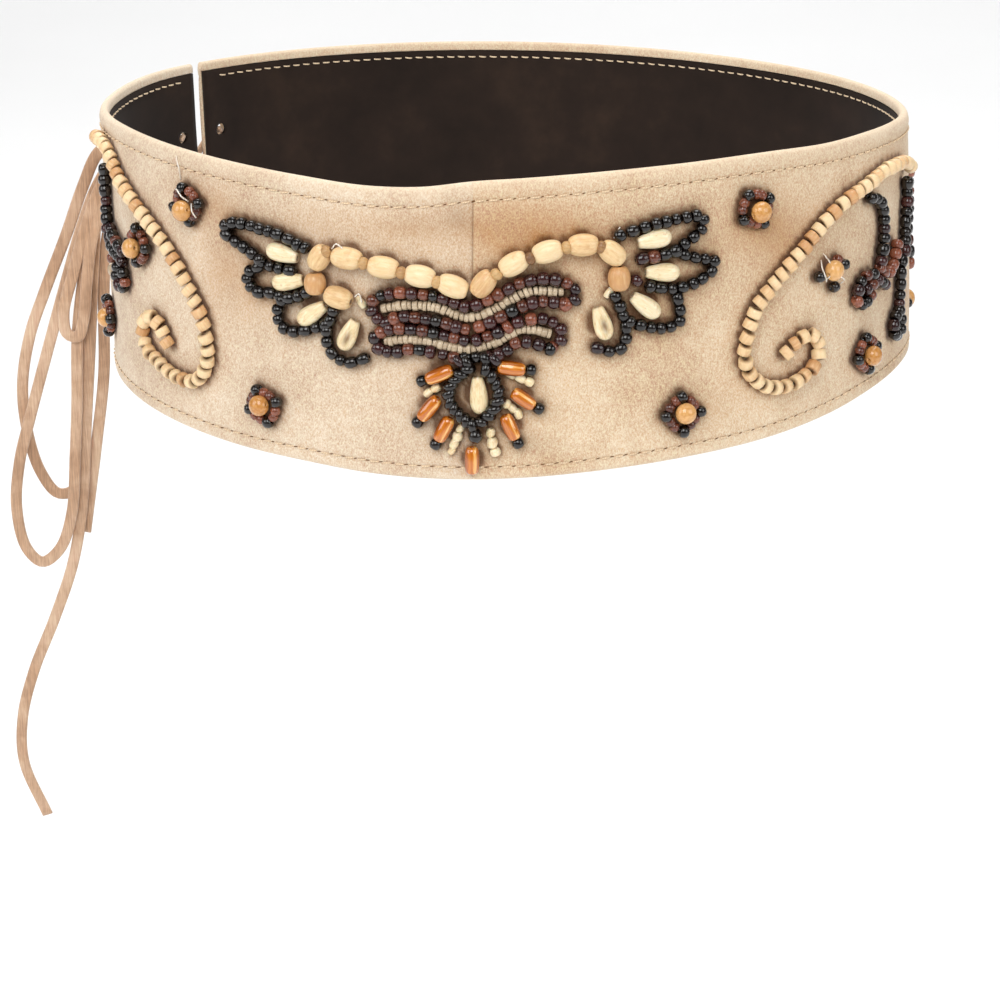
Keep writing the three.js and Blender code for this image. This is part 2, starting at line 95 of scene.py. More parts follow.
def smoothCurve(at, knots, values):
    # cubic pieces through the values; each knot's slope is the weighted mean of its two sides
    knots, values = np.asarray(knots, float), np.asarray(values, float)
    slopes = np.gradient(values, knots, axis=0)
    piece = np.clip(np.searchsorted(knots, at) - 1, 0, len(knots) - 2)
    span = (knots[piece + 1] - knots[piece]).reshape(-1, *[1] * (values.ndim - 1))
    t = (np.asarray(at) - knots[piece]).reshape(span.shape) / span
    start, end = values[piece], values[piece + 1]
    return (
        (2 * t**3 - 3 * t**2 + 1) * start + (t**3 - 2 * t**2 + t) * span * slopes[piece]
        + (3 * t**2 - 2 * t**3) * end + (t**3 - t**2) * span * slopes[piece + 1]
    )


def routePoints(route, count):
    # a centripetal curve through the route's points: its parameter grows with the root of each chord
    route = np.asarray(route, float)
    knots = np.concatenate([[0], np.cumsum(np.linalg.norm(np.diff(route, axis=0), axis=1) ** 0.5)])
    return smoothCurve(np.linspace(0, knots[-1], count), knots, route)


def measured(points):
    # how far along its own path each point lies
    return np.concatenate([[0], np.cumsum(np.linalg.norm(np.diff(points, axis=0), axis=1))])


def smoothLoop(points, count):
    # a closed curve: the points are repeated past both ends, and only the middle round is kept
    points = np.asarray(points, float)
    ring = np.concatenate([points[-3:], points, points[:4]])
    knots = measured(ring)
    return smoothCurve(np.linspace(knots[3], knots[3 + len(points)], count, endpoint=False), knots, ring)


# Arc lengths round the plain ellipse at mid height, so that a length along the belt gives its angle.
arcAngles = np.linspace(-np.pi, np.pi, 2881)
arcMiddles = (arcAngles[1:] + arcAngles[:-1]) / 2
middleDepth = belt["halfDepth"] + belt["frontLean"] / 2
arcSpeeds = np.hypot(belt["halfWidth"] * np.cos(arcMiddles), middleDepth * np.sin(arcMiddles))
arcLengths = np.concatenate([[0], np.cumsum(arcSpeeds * np.diff(arcAngles))])
girth = arcLengths[-1]
arcLengths -= girth / 2

# How far the rims stray from level: share of the girth, then lower and upper rim as shares of the height.
rims = np.array([
    (-0.5, 0.005, -0.02), (-0.34, 0.01, -0.012), (-0.3, 0.011, -0.008), (-0.25, 0.012, -0.015),
    (-0.17, 0.008, 0.002), (-0.14, 0.002, -0.005), (-0.1, -0.008, -0.02), (-0.07, -0.014, -0.034),
    (-0.04, -0.026, -0.048), (-0.02, -0.028, -0.042), (0, -0.025, -0.019), (0.02, -0.017, -0.007),
    (0.04, -0.005, 0.004), (0.08, 0.02, 0.02), (0.12, 0.044, 0.028), (0.15, 0.069, 0.021),
    (0.18, 0.095, 0.02), (0.21, 0.105, 0.01), (0.25, 0.09, -0.012), (0.34, 0.04, -0.025), (0.5, 0.005, -0.02),
])


def rimHeights(along):
    # lower and upper rim, in millimetres, smooth between the rows of the table
    share = along / girth - np.round(along / girth)
    heights = smoothCurve(share.ravel(), rims[:, 0], rims[:, 1:]) * belt["height"]
    return heights[:, 0].reshape(along.shape), heights[:, 1].reshape(along.shape) + belt["height"]


def onBelt(along, up, out):
    # the ellipse at that height, and from it outwards along its normal
    along, up, out = [np.asarray(a, float) for a in np.broadcast_arrays(along, up, out)]
    angle = np.interp(along - girth * np.round(along / girth), arcLengths, arcAngles)
    fall = 1 - up / belt["height"]
    wide = belt["halfWidth"] + np.where(angle > 0, belt["rightSpread"] + belt["rightLean"] * fall, 0)
    deep = belt["halfDepth"] + belt["frontLean"] * fall
    square = unit(np.stack([np.sin(angle) / wide, -np.cos(angle) / deep], -1))
    flat = np.stack([wide * np.sin(angle), -deep * np.cos(angle)], -1) + out[..., None] * square
    return np.concatenate([flat, up[..., None]], -1) * millimetre


stitching = {"pitch": 4.6, "top": 6.3, "bottom": 4.8, "length": 3.3, "radius": 0.25}


def faceSwell(along, up):
    # how far the suede stands out: slow waves, a roll at each rim, a groove at each line of stitches
    low, high = rimHeights(along)
    fromTop, fromLow = high - up, up - low
    waves = 0.22 * np.sin(along / 31 + up / 40) + 0.16 * np.sin(along / 13.7 - up / 23 + 1)
    waves = waves + 0.1 * np.sin(up / 9 + along / 50)
    pucker = 0.8 + 0.2 * np.cos(2 * np.pi * along / stitching["pitch"])
    groove = 0.28 * hump(fromTop - stitching["top"], 0.75) + 0.22 * hump(fromLow - stitching["bottom"], 0.75)
    roll = 0.4 * hump(fromTop - 3.2, 1.6) + 0.25 * hump(fromLow - 2.4, 1.3)
    calm = np.clip(np.minimum(fromTop, fromLow) / 12, 0, 1)
    return waves * calm - groove * pucker + roll


def onFace(along, up, out):
    # a place that far out from the suede's own uneven face
    along, up = np.broadcast_arrays(np.asarray(along, float), np.asarray(up, float))
    return onBelt(along, up, faceSwell(along, up) + out)


def beltAxes(along, rise, out, tilt):
    # a place on the face and its axes: X along the belt turned by tilt towards up, Z outwards
    along, rise, out, tilt = [np.asarray(a, float) for a in np.broadcast_arrays(along, rise, out, tilt)]
    up = rise + belt["height"] / 2
    spots = onFace(along, up, out)
    across = unit(onBelt(along + 1, up, out) - onBelt(along - 1, up, out))
    upward = onBelt(along, up + 1, out) - onBelt(along, up - 1, out)
    outward = unit(np.cross(across, upward))
    upward = np.cross(outward, across)
    turn = np.radians(tilt)[..., None]
    first = across * np.cos(turn) + upward * np.sin(turn)
    return spots, np.stack([first, np.cross(outward, first), outward], -1)


def gridQuads(rows, columns, closedRows, closedColumns):
    # four corners of each cell of a grid whose vertices are numbered row by row
    r, c = np.meshgrid(
        np.arange(rows - (not closedRows)), np.arange(columns - (not closedColumns)), indexing="ij"
    )
    r, c = r.ravel(), c.ravel()
    here, below, nextColumn = r * columns, (r + 1) % rows * columns, (c + 1) % columns
    return np.stack([here + c, here + nextColumn, below + nextColumn, below + c], -1)


def outwards(points, quads):
    # turns the faces round if the closed form they enclose has a negative volume
    a, b, c, d = [points[quads[:, k]] for k in range(4)]
    volume = np.einsum("ij,ij->", a, np.cross(b, c)) + np.einsum("ij,ij->", a, np.cross(c, d))
    return quads[:, ::-1] if volume < 0 else quads


def tubeFaces(points, rows, columns):
    # the wall of a tube of closed rows, turned outwards, and the lids that shut its two ends
    plain = gridQuads(rows, columns, False, True)
    quads = outwards(points, plain)
    first, last = np.arange(columns), np.arange((rows - 1) * columns, rows * columns)
    return quads, np.stack([first[::-1], last] if quads is plain else [first, last[::-1]])


def copied(faces, count, size):
    # the same faces for each of several bodies that have that many vertices each
    return (faces[None] + np.arange(count)[:, None, None] * size).reshape(count * len(faces), -1)


def makePiece(name, shells, finishes, replaced=()):
    # joins shells (points, quads, caps, finish, values) in one mesh
    points, faces, finishOf, values = [], [], [], {}
    start = 0
    for shell in shells:
        caps = shell.get("caps", [])
        quads = shell["quads"] + start
        faces += quads.tolist() + (np.asarray(caps, int) + start).tolist()
        finish = np.broadcast_to(shell.get("finish", 0), len(quads)).tolist()
        finishOf += finish + [finish[-1]] * len(caps)
        points.append(shell["points"])
        for key, column in shell.get("values", {}).items():
            values.setdefault(key, []).append(column)
        start += len(shell["points"])
    mesh = bpy.data.meshes.new(name)
    mesh.from_pydata(np.concatenate(points).tolist(), [], faces)
    mesh.polygons.foreach_set("material_index", finishOf)
    mesh.polygons.foreach_set("use_smooth", [True] * len(faces))
    for finish in finishes:
        mesh.materials.append(finish)
    for key, columns in values.items():
        column = np.concatenate(columns)
        kind, field = ("FLOAT", "value") if column.ndim == 1 else ("FLOAT_VECTOR", "vector")
        mesh.attributes.new(key, kind, "POINT").data.foreach_set(field, column.astype(np.float32).ravel())
    mesh.update()
    piece = addObject(name, mesh)
    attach(piece, "root")
    if replaced:
        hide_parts(*replaced)
    return piece


def tint(red, green, blue):
    # a screen colour, 0 to 255, as the shader's linear one
    share = np.array([red, green, blue]) / 255
    linear = np.where(share <= 0.04045, share / 12.92, ((share + 0.055) / 1.055) ** 2.4)
    return (*linear.tolist(), 1)


class Wire:
    # a socket that takes part in sums; each operator adds its Math node

    def __init__(self, finish, socket):
        self.finish, self.socket = finish, socket

    def sum(self, operation, *terms):
        return self.finish.node("Math", {"operation": operation}, dict(enumerate(terms)))

    def __add__(self, other):
        return self.sum("ADD", self, other)

    def __sub__(self, other):
        return self.sum("SUBTRACT", self, other)

    def __rsub__(self, other):
        return self.sum("SUBTRACT", other, self)

    def __mul__(self, other):
        return self.sum("MULTIPLY", self, other)

    def __truediv__(self, other):
        return self.sum("DIVIDE", self, other)

    def __rtruediv__(self, other):
        return self.sum("DIVIDE", other, self)

    def __pow__(self, other):
        return self.sum("POWER", self, other)

    __radd__ = __add__
    __rmul__ = __mul__

    def sine(self):
        return self.sum("SINE", self)

    def clamp(self, low, high):
        return self.sum("MINIMUM", self.sum("MAXIMUM", self, low), high)

    def between(self, low, high):
        # 0 below low, 1 above high, smooth in between
        kind = {"interpolation_type": "SMOOTHSTEP"}
        return self.finish.node("MapRange", kind, {"Value": self, "From Min": low, "From Max": high})


class Finish:
    # a material with its principled shader

    def __init__(self, name, **sockets):
        self.material = bpy.data.materials.new(name)
        self.material.use_nodes = True
        self.nodes, self.links = self.material.node_tree.nodes, self.material.node_tree.links
        self.nodes.clear()
        self.end = self.nodes.new("ShaderNodeOutputMaterial")
        self.shader = self.nodes.new("ShaderNodeBsdfPrincipled")
        self.links.new(self.shader.outputs[0], self.end.inputs[0])
        self.feed(self.shader, sockets)

    def feed(self, node, sockets):
        for key, value in sockets.items():
            if isinstance(value, Wire):
                self.links.new(value.socket, node.inputs[key])
            else:
                node.inputs[key].default_value = value

    def node(self, kind, settings=None, sockets=None, result=0):
        made = self.nodes.new("ShaderNode" + kind)
        for key, value in (settings or {}).items():
            if key == "stops":
                ramp = made.color_ramp
                while len(ramp.elements) < len(value):
                    ramp.elements.new(1)
                for element, (place, colour) in zip(ramp.elements, value):
                    element.position, element.color = place, colour
            else:
                setattr(made, key, value)
        self.feed(made, sockets or {})
        return Wire(self, made.outputs[result])

    def value(self, name, result="Fac"):
        return self.node("Attribute", {"attribute_name": name}, result=result)

    def twoParts(self, name):
        vector = self.value(name, "Vector")
        return [self.node("SeparateXYZ", None, {0: vector}, k) for k in (0, 1)]

    def place(self):
        return self.node("TexCoord", result="Object")

    def stretched(self, vector, scale):
        return self.node("VectorMath", {"operation": "MULTIPLY"}, {0: vector, 1: scale})

    def noise(self, vector, scale, detail=3, roughness=0.55, distortion=0):
        sockets = {
            "Vector": vector, "Scale": scale, "Detail": detail, "Roughness": roughness,
            "Distortion": distortion
        }
        return self.node("TexNoise", None, sockets, "Fac")

    def mix(self, share, first, second, blend="MIX"):
        return self.node(
            "Mix", {"data_type": "RGBA", "blend_type": blend}, {0: share, 6: first, 7: second}, 2
        )

    def ramp(self, share, stops):
        return self.node("ValToRGB", {"stops": stops}, {"Fac": share}, "Color")

    def bump(self, height, strength, distance):
        return self.node(
            "Bump", None, {"Height": height, "Strength": strength, "Distance": distance}, "Normal"
        )

    def set(self, **sockets):
        names = {"colour": "Base Color", "rough": "Roughness", "normal": "Normal", "coat": "Coat Weight"}
        self.feed(self.shader, {names[key]: value for key, value in sockets.items()})
        return self.material


def suedeFinish(name, tones, sheen=0.2, pull=0.6, speckle=0.42):
    # napped leather: slow clouds, blotches of rubbed nap, warm fibres and a fine light and dark grain; stains
    # and grey smudges over them, painted shade round the beads, in the stitch holes and in the seam's crease,
    # and paler rubbed edges with a painted highlight
    finish = Finish(name, **{"Sheen Weight": sheen, "Sheen Roughness": 0.5, "Specular IOR Level": 0.15})
    place = finish.place()
    clouds = finish.noise(place, 24, 3, 0.5)
    blotches = finish.noise(place, 90, 5, 0.6, 0.5)
    nap = finish.noise(finish.stretched(place, (1, 1, pull)), 900, 4, 0.7)
    grain = finish.noise(finish.stretched(place, (1, 1, pull)), 2300, 2, 0.8)
    colour = finish.ramp(
        clouds * 0.6 + blotches * 0.4, [(0.34, tones["deep"]), (0.5, tones["main"]), (0.66, tones["pale"])]
    )
    colour = finish.mix(nap.between(0.52, 0.76) * speckle * 0.7, colour, tones["fibre"])
    colour = finish.mix(speckle, colour, (nap * 0.35 + grain * 0.65).between(0.34, 0.68), "OVERLAY")
    # stains, with the halo round the beads that is partly dye stain and partly painted shade
    stain = (finish.value("stain") * (blotches * 1.3 + nap * 0.7 - 0.1)).clamp(0, 0.9)
    colour = finish.mix(stain, colour, tones["stain"], "MULTIPLY")
    colour = finish.mix(finish.value("smudge") * (blotches * 1.2 - 0.1), colour, tones["smudge"], "MULTIPLY")
    # painted shade close round the beads
    colour = finish.mix(finish.value("shade"), colour, tones["shade"], "MULTIPLY")
    # paler edges: rubbed nap, with a painted highlight on rounded edges
    colour = finish.mix(finish.value("worn") * (nap * 1.1 + 0.1), colour, tones["worn"])
    # painted shade in the stitch holes and in the seam's crease
    colour = finish.mix(finish.value("dip"), colour, tones["dip"])
    height = blotches * 0.45 + nap * 0.4 + grain * 0.35
    return finish.set(colour=colour, rough=0.8 + nap * 0.18, normal=finish.bump(height, 0.7, 0.0009))


beltTones = {
    "deep": tint(206, 177, 142), "main": tint(219, 195, 164), "pale": tint(230, 209, 181),
    "fibre": tint(188, 154, 114),
    "stain": tint(206, 165, 116), "smudge": tint(168, 158, 150), "worn": tint(230, 210, 183),
    # the last two are colours of painted shade: for the stitch holes and the seam, and round the beads
    "dip": tint(124, 88, 56), "shade": tint(112, 78, 54),
}
coolTones = {
    **beltTones, "deep": tint(207, 183, 155), "main": tint(221, 201, 176), "pale": tint(231, 213, 191)
}
laceTones = {
    **beltTones, "deep": tint(156, 120, 92), "main": tint(188, 152, 123), "pale": tint(214, 183, 155),
    "fibre": tint(150, 112, 82),
    "stain": tint(150, 110, 80), "worn": tint(216, 188, 160), "dip": tint(90, 60, 40),
}
suedeLeft = suedeFinish("suede_left", coolTones)
suedeRight = suedeFinish("suede_right", beltTones)
suedeLace = suedeFinish("suede_lace", laceTones, 0.4, 0.03, 0.24)


def liningFinish():
    # a close dark twill: two sets of fine ribs, and worn paler patches
    finish = Finish("lining_twill", **{"Sheen Weight": 0.05, "Specular IOR Level": 0.15})
    along, up = finish.twoParts("cloth")
    ribs = ((along + up) * 5.2).sine()
    weft = ((along - up * 0.6) * 6.5).sine()
    patches = finish.noise(finish.place(), 38, 4, 0.6)
    colour = finish.ramp(
        patches, [(0.3, tint(33, 24, 19)), (0.55, tint(42, 31, 25)), (0.8, tint(56, 42, 33))]
    )
    colour = finish.mix((ribs * 0.5 + 0.5) * 0.25, colour, tint(27, 19, 15))
    normal = finish.bump(ribs * 0.5 + weft * 0.25, 0.5, 0.0002)
    return finish.set(colour=colour, rough=0.82 + patches * 0.1, normal=normal)


def threadFinish(name, dark, pale):
    # twisted thread: slanting light and dark plies
    finish = Finish(name, **{"Specular IOR Level": 0.3})
    along, turn = finish.twoParts("own")
    plies = (along * 7 + turn).sine() * 0.5 + 0.5
    return finish.set(
        colour=finish.mix(plies, dark, pale), rough=0.65 + plies * 0.1, normal=finish.bump(plies, 0.6, 0.0001)
    )


def woodFinish(name, pale, mid, dark, rough):
    # turned wood: long grain along the bore, small pores and some knots, under a thin polish, with painted
    # shade at the bore's mouth and on the ends of discs
    finish = Finish(
        name, **{
            "Coat Roughness": 0.25, "Coat IOR": 1.45, "Specular IOR Level": 0.4, "Subsurface Weight": 0.06,
            "Subsurface Scale": 0.001
        }
    )
    own = finish.value("own", "Vector")
    grain = finish.noise(finish.stretched(own, (0.2, 1.3, 1.3)), 1.0, 4, 0.6, 0.3)
    pores = finish.noise(finish.stretched(own, (1.2, 5, 5)), 1.0, 2, 0.5)
    knots = finish.noise(own, 0.28, 3, 0.6)
    colour = finish.ramp(
        (grain - 0.5) * 0.9 + finish.value("tone") * 0.8 + 0.1, [(0.1, pale), (0.5, mid), (0.9, dark)]
    )
    colour = finish.mix(knots.between(0.55, 0.72) * 0.4, colour, dark)
    colour = finish.mix(pores.between(0.58, 0.75) * 0.3, colour, dark)
    # painted shade at the bore's mouth and on the ends of discs
    colour = finish.mix(finish.value("hollow"), colour, tint(84, 52, 26))
    normal = finish.bump(grain * 0.6 + pores * 0.25, 0.4, 0.0003)
    return finish.set(colour=colour, rough=rough + pores * 0.12, coat=0.25 + grain * 0.2, normal=normal)


def shellFinish():
    # cut shell: cream with faint growth lines, brown in its hollows, and painted shade at its bore and its
    # pierced end
    finish = Finish(
        "cut_shell", **{"Coat Roughness": 0.12, "Subsurface Weight": 0.1, "Subsurface Scale": 0.0015}
    )
    own = finish.value("own", "Vector")
    lines = finish.noise(finish.stretched(own, (0.3, 1.6, 1.6)), 1.0, 3, 0.55, 0.8)
    spots = finish.noise(own, 0.5, 3, 0.6)
    share = lines * 0.9 + finish.value("tone") * 0.2
    colour = finish.ramp(
        share, [(0.35, tint(243, 228, 194)), (0.58, tint(236, 214, 168)), (0.8, tint(208, 172, 118))]
    )
    colour = finish.mix(spots.between(0.58, 0.7) * 0.4, colour, tint(196, 150, 92))
    # brown in the dent, with painted shade at the bore and the pierced end
    colour = finish.mix(finish.value("hollow"), colour, tint(104, 66, 30))
    return finish.set(
        colour=colour, rough=0.3 + lines * 0.12, coat=0.5 + spots * 0.2,
        normal=finish.bump(lines, 0.3, 0.0003)
    )


def glassFinish(name, dark, pale, rough):
    # pressed glass beads: a slow change of tone from bead to bead, faint ripples, and a bright skin
    finish = Finish(name, **{"Coat Roughness": 0.06, "Coat IOR": 1.5, "Specular IOR Level": 0.2})
    own = finish.value("own", "Vector")
    ripples = finish.noise(own, 0.9, 3, 0.55)
    colour = finish.mix((finish.value("tone") * 0.7 + ripples * 1.4 - 0.6).clamp(0, 1), dark, pale)
    return finish.set(
        colour=colour, rough=rough + ripples * 0.1, coat=0.6 + ripples * 0.5,
        normal=finish.bump(ripples, 0.22, 0.0003)
    )


def amberFinish():
    # amber glass with painted light: a painted bright streak where light gathers, a painted dark core beside
    # it, painted darker sides, and painted shade at the ends
    finish = Finish(
        "amber_glass", **{
            "Coat Roughness": 0.03, "IOR": 1.52, "Subsurface Weight": 0.05, "Subsurface Scale": 0.001,
            "Subsurface Radius": (1, 0.4, 0.1)
        }
    )
    own = finish.value("own", "Vector")
    streaks = finish.noise(finish.stretched(own, (0.14, 1.0, 1.0)), 1.0, 3, 0.5, 0.4)
    across = finish.value("across") + (streaks - 0.5) * 0.8
    stops = [
        (0.0, tint(118, 52, 4)), (0.2, tint(176, 92, 16)), (0.34, tint(206, 120, 30)),
        (0.5, tint(184, 98, 16)),
        (0.64, tint(208, 122, 30)), (0.74, tint(246, 190, 110)), (0.82, tint(204, 116, 28)),
        (1.0, tint(122, 54, 6)),
    ]
    # the ramp across the tube paints the bright streak and the darker sides
    colour = finish.ramp(across * 0.5 + 0.5, stops)
    # painted shade at the tube's ends by the bore
    colour = finish.mix(finish.value("hollow"), colour, tint(96, 36, 6))
    return finish.set(
        colour=colour, rough=0.08 + streaks * 0.08, coat=0.8 + streaks * 0.2,
        normal=finish.bump(streaks, 0.25, 0.0003)
    )


liningTwill = liningFinish()
stitchThread = threadFinish("stitch_thread", tint(214, 186, 152), tint(234, 212, 180))
whiteThread = threadFinish("white_thread", tint(214, 200, 180), tint(250, 246, 238))
paleWood = woodFinish("pale_wood", tint(240, 217, 176), tint(230, 198, 148), tint(202, 152, 100), 0.32)
discWood = woodFinish("disc_wood", tint(242, 213, 168), tint(232, 195, 146), tint(206, 154, 102), 0.4)
spacerWood = woodFinish("spacer_wood", tint(204, 166, 112), tint(172, 130, 82), tint(112, 76, 44), 0.4)
cutShell = shellFinish()
jetGlass = glassFinish("jet_glass", tint(6, 3, 2), tint(26, 18, 14), 0.14)
garnetGlass = glassFinish("garnet_glass", tint(24, 10, 12), tint(70, 32, 30), 0.14)
copperGlass = glassFinish("copper_glass", tint(66, 30, 20), tint(150, 86, 62), 0.14)
creamGlass = glassFinish("cream_glass", tint(172, 150, 122), tint(210, 190, 160), 0.3)
honeyGlass = glassFinish("honey_glass", tint(186, 124, 58), tint(230, 180, 116), 0.14)
amberGlass = amberFinish()
print("materials made")

# Routes are (x, z) in the plane y = depth, as the solids have them.
laces = {"width": 5, "thickness": 1.8, "step": 1.6, "strips": [
    {
        "name": "lace_short_loop", "depth": 61.5, "far": "object", "roll": 4,
        "route": [
            (-143, 64.6), (-152, 65.5), (-164, 60), (-172, 47.5), (-179, 31), (-186, 10), (-191, -7),
            (-190, -16),
            (-185.5, -17), (-182.5, -9), (-180, 8), (-176, 28), (-169, 43), (-157, 53), (-143, 58.4),
        ],
    },
    {
        "name": "lace_long_loop", "depth": 63.8, "far": "object", "roll": 5,
        "route": [
            (-143, 64.6), (-152, 66.5), (-164, 61), (-173, 49), (-181, 31), (-188, 11), (-199, -22),
            (-210, -56),
            (-216, -76), (-219, -98), (-216, -117), (-209.5, -123.5), (-201, -117), (-194.5, -100),
            (-191, -72),
            (-188.5, -47), (-186.5, -19), (-183, 3), (-177, 27), (-170.5, 41.5), (-158, 53), (-143, 58.4),
        ],
    },
    {
        "name": "lace_long_end", "depth": 66.1, "far": "bare", "roll": 6,
        "route": [
            (-142.7, 64.6), (-155, 64), (-167, 57), (-173.5, 44), (-178, 12), (-182, -25), (-186, -60),
            (-190, -96),
            (-196, -124), (-206, -151), (-218, -179), (-225, -203), (-226, -226), (-217, -253),
        ],
    },
    {
        "name": "lace_short_end", "depth": 68.4, "far": "bare", "roll": 5,
        "route": [
            (-142, 58.4), (-154, 57), (-165, 48), (-172, 24), (-175, -2), (-177, -35), (-182, -66),
            (-190, -110)
        ],
    },
    {
        "name": "lace_outer_loop", "depth": 70.7, "far": "object", "roll": 5,
        "route": [
            (-141.3, 64.6), (-152, 68.5), (-164, 67.5), (-174, 60.5), (-181, 47), (-190, 25), (-201, 0),
            (-209, -20),
            (-214, -43), (-213.5, -64), (-209, -83), (-202, -93), (-195, -91.5), (-191, -77), (-188, -49),
            (-185, -17), (-181, 10), (-175.5, 33), (-168, 46), (-156, 55), (-141.3, 58.4),
        ],
    },
]}


def strapSection(wide, thin, count=20):
    # a flat rounded oblong: powers under 1 of the circle's cosine and sine
    turn = np.linspace(0, 2 * np.pi, count, endpoint=False)
    swing, rise = np.cos(turn), np.sin(turn)
    across = np.sign(swing) * np.abs(swing) ** 0.4 * wide / 2
    through = np.sign(rise) * np.abs(rise) ** 0.7 * thin / 2
    return across, through, np.abs(swing)


def sweptStrap(path, side, face, wide, thin):
    # the section carried along the path: side is the direction of its width, face that of its thickness
    across, through, edge = strapSection(wide, thin)
    points = path[:, None] + side[:, None] * across[None, :, None] + face[:, None] * through[None, :, None]
    points = points.reshape(-1, 3) * millimetre
    quads, caps = tubeFaces(points, len(path), len(across))
    # paler along the two narrow edges: raw cut edges, with a painted highlight where they round over
    worn = np.tile(np.where(edge > 0.9, 0.55, 0.0), len(path))
    return {"points": points, "quads": quads, "caps": caps, "values": {"worn": worn}}


def makeLace(strip):
    # the strap swept along its route at even steps, rolling slowly about it
    rough = routePoints(strip["route"], 40 * len(strip["route"]))
    lengths = measured(rough)
    stops = np.linspace(0, lengths[-1], int(lengths[-1] / laces["step"]))
    flat = np.stack([np.interp(stops, lengths, rough[:, k]) for k in (0, 1)], -1)
    path = np.stack([flat[:, 0], np.full(len(flat), strip["depth"]), flat[:, 1]], -1)
    level = np.array([0.0, 1.0, 0.0])
    side = np.cross(unit(np.gradient(path, axis=0)), level)
    roll = np.radians(strip["roll"]) * np.sin(stops / 37 + strip["depth"])[:, None]
    face = level * np.cos(roll) - side * np.sin(roll)
    side = side * np.cos(roll) + level * np.sin(roll)
    shell = sweptStrap(path, side, face, laces["width"], laces["thickness"])
    piece = makePiece(strip["name"] + "_suede", [shell], [suedeLace], [strip["name"]])


for strip in laces["strips"]:
    makeLace(strip)
print("laces hung")

# Each outline runs round a bead's wall, from its bore: place as a share of half the length, and radius as a
# share of half the width.
outlines = {
    "seed": [
        (-0.96, 0.3), (-0.93, 0.66), (-0.62, 0.92), (0, 1.02), (0.62, 0.92), (0.93, 0.66), (0.96, 0.3),
        (0, 0.2)
    ],
    "disc": [
        (-0.98, 0.25), (-1, 0.82), (-0.84, 0.99), (0, 1.01), (0.84, 0.99), (1, 0.82), (0.98, 0.25), (0, 0.2)
    ],
    "oval": [
        (-0.96, 0.22), (-1, 0.34), (-0.995, 0.48), (-0.95, 0.6), (-0.78, 0.78), (-0.45, 0.94), (0, 1),
        (0.45, 0.94),
        (0.78, 0.78), (0.95, 0.6), (0.995, 0.48), (1, 0.34), (0.96, 0.22), (0.4, 0.18), (-0.4, 0.18),
    ],
    "drop": [
        (-0.93, 0.26), (-1, 0.38), (-0.99, 0.5), (-0.92, 0.58), (-0.6, 0.76), (-0.2, 0.93), (0.2, 1.01),
        (0.55, 0.97),
        (0.8, 0.78), (0.95, 0.48), (1, 0.18), (0.95, 0.08), (0.2, 0.12), (-0.5, 0.2),
    ],
    "tube": [
        (-0.96, 0.26), (-1, 0.42), (-0.97, 0.6), (-0.88, 0.78), (-0.7, 0.91), (-0.4, 0.99), (0, 1.02),
        (0.4, 0.99),
        (0.7, 0.91), (0.88, 0.78), (0.97, 0.6), (1, 0.42), (0.96, 0.26), (0.3, 0.2), (-0.3, 0.2),
    ],
    "ball": [
        (-0.93, 0.18), (-0.96, 0.3), (-0.88, 0.5), (-0.7, 0.73), (-0.38, 0.93), (0, 1), (0.38, 0.93),
        (0.7, 0.73),
        (0.88, 0.5), (0.96, 0.3), (0.93, 0.18), (0.3, 0.15), (-0.3, 0.15),
    ],
}
beadPlaces = []  # (along, up, size) of every bead, for the stain and painted shade round them on the suede


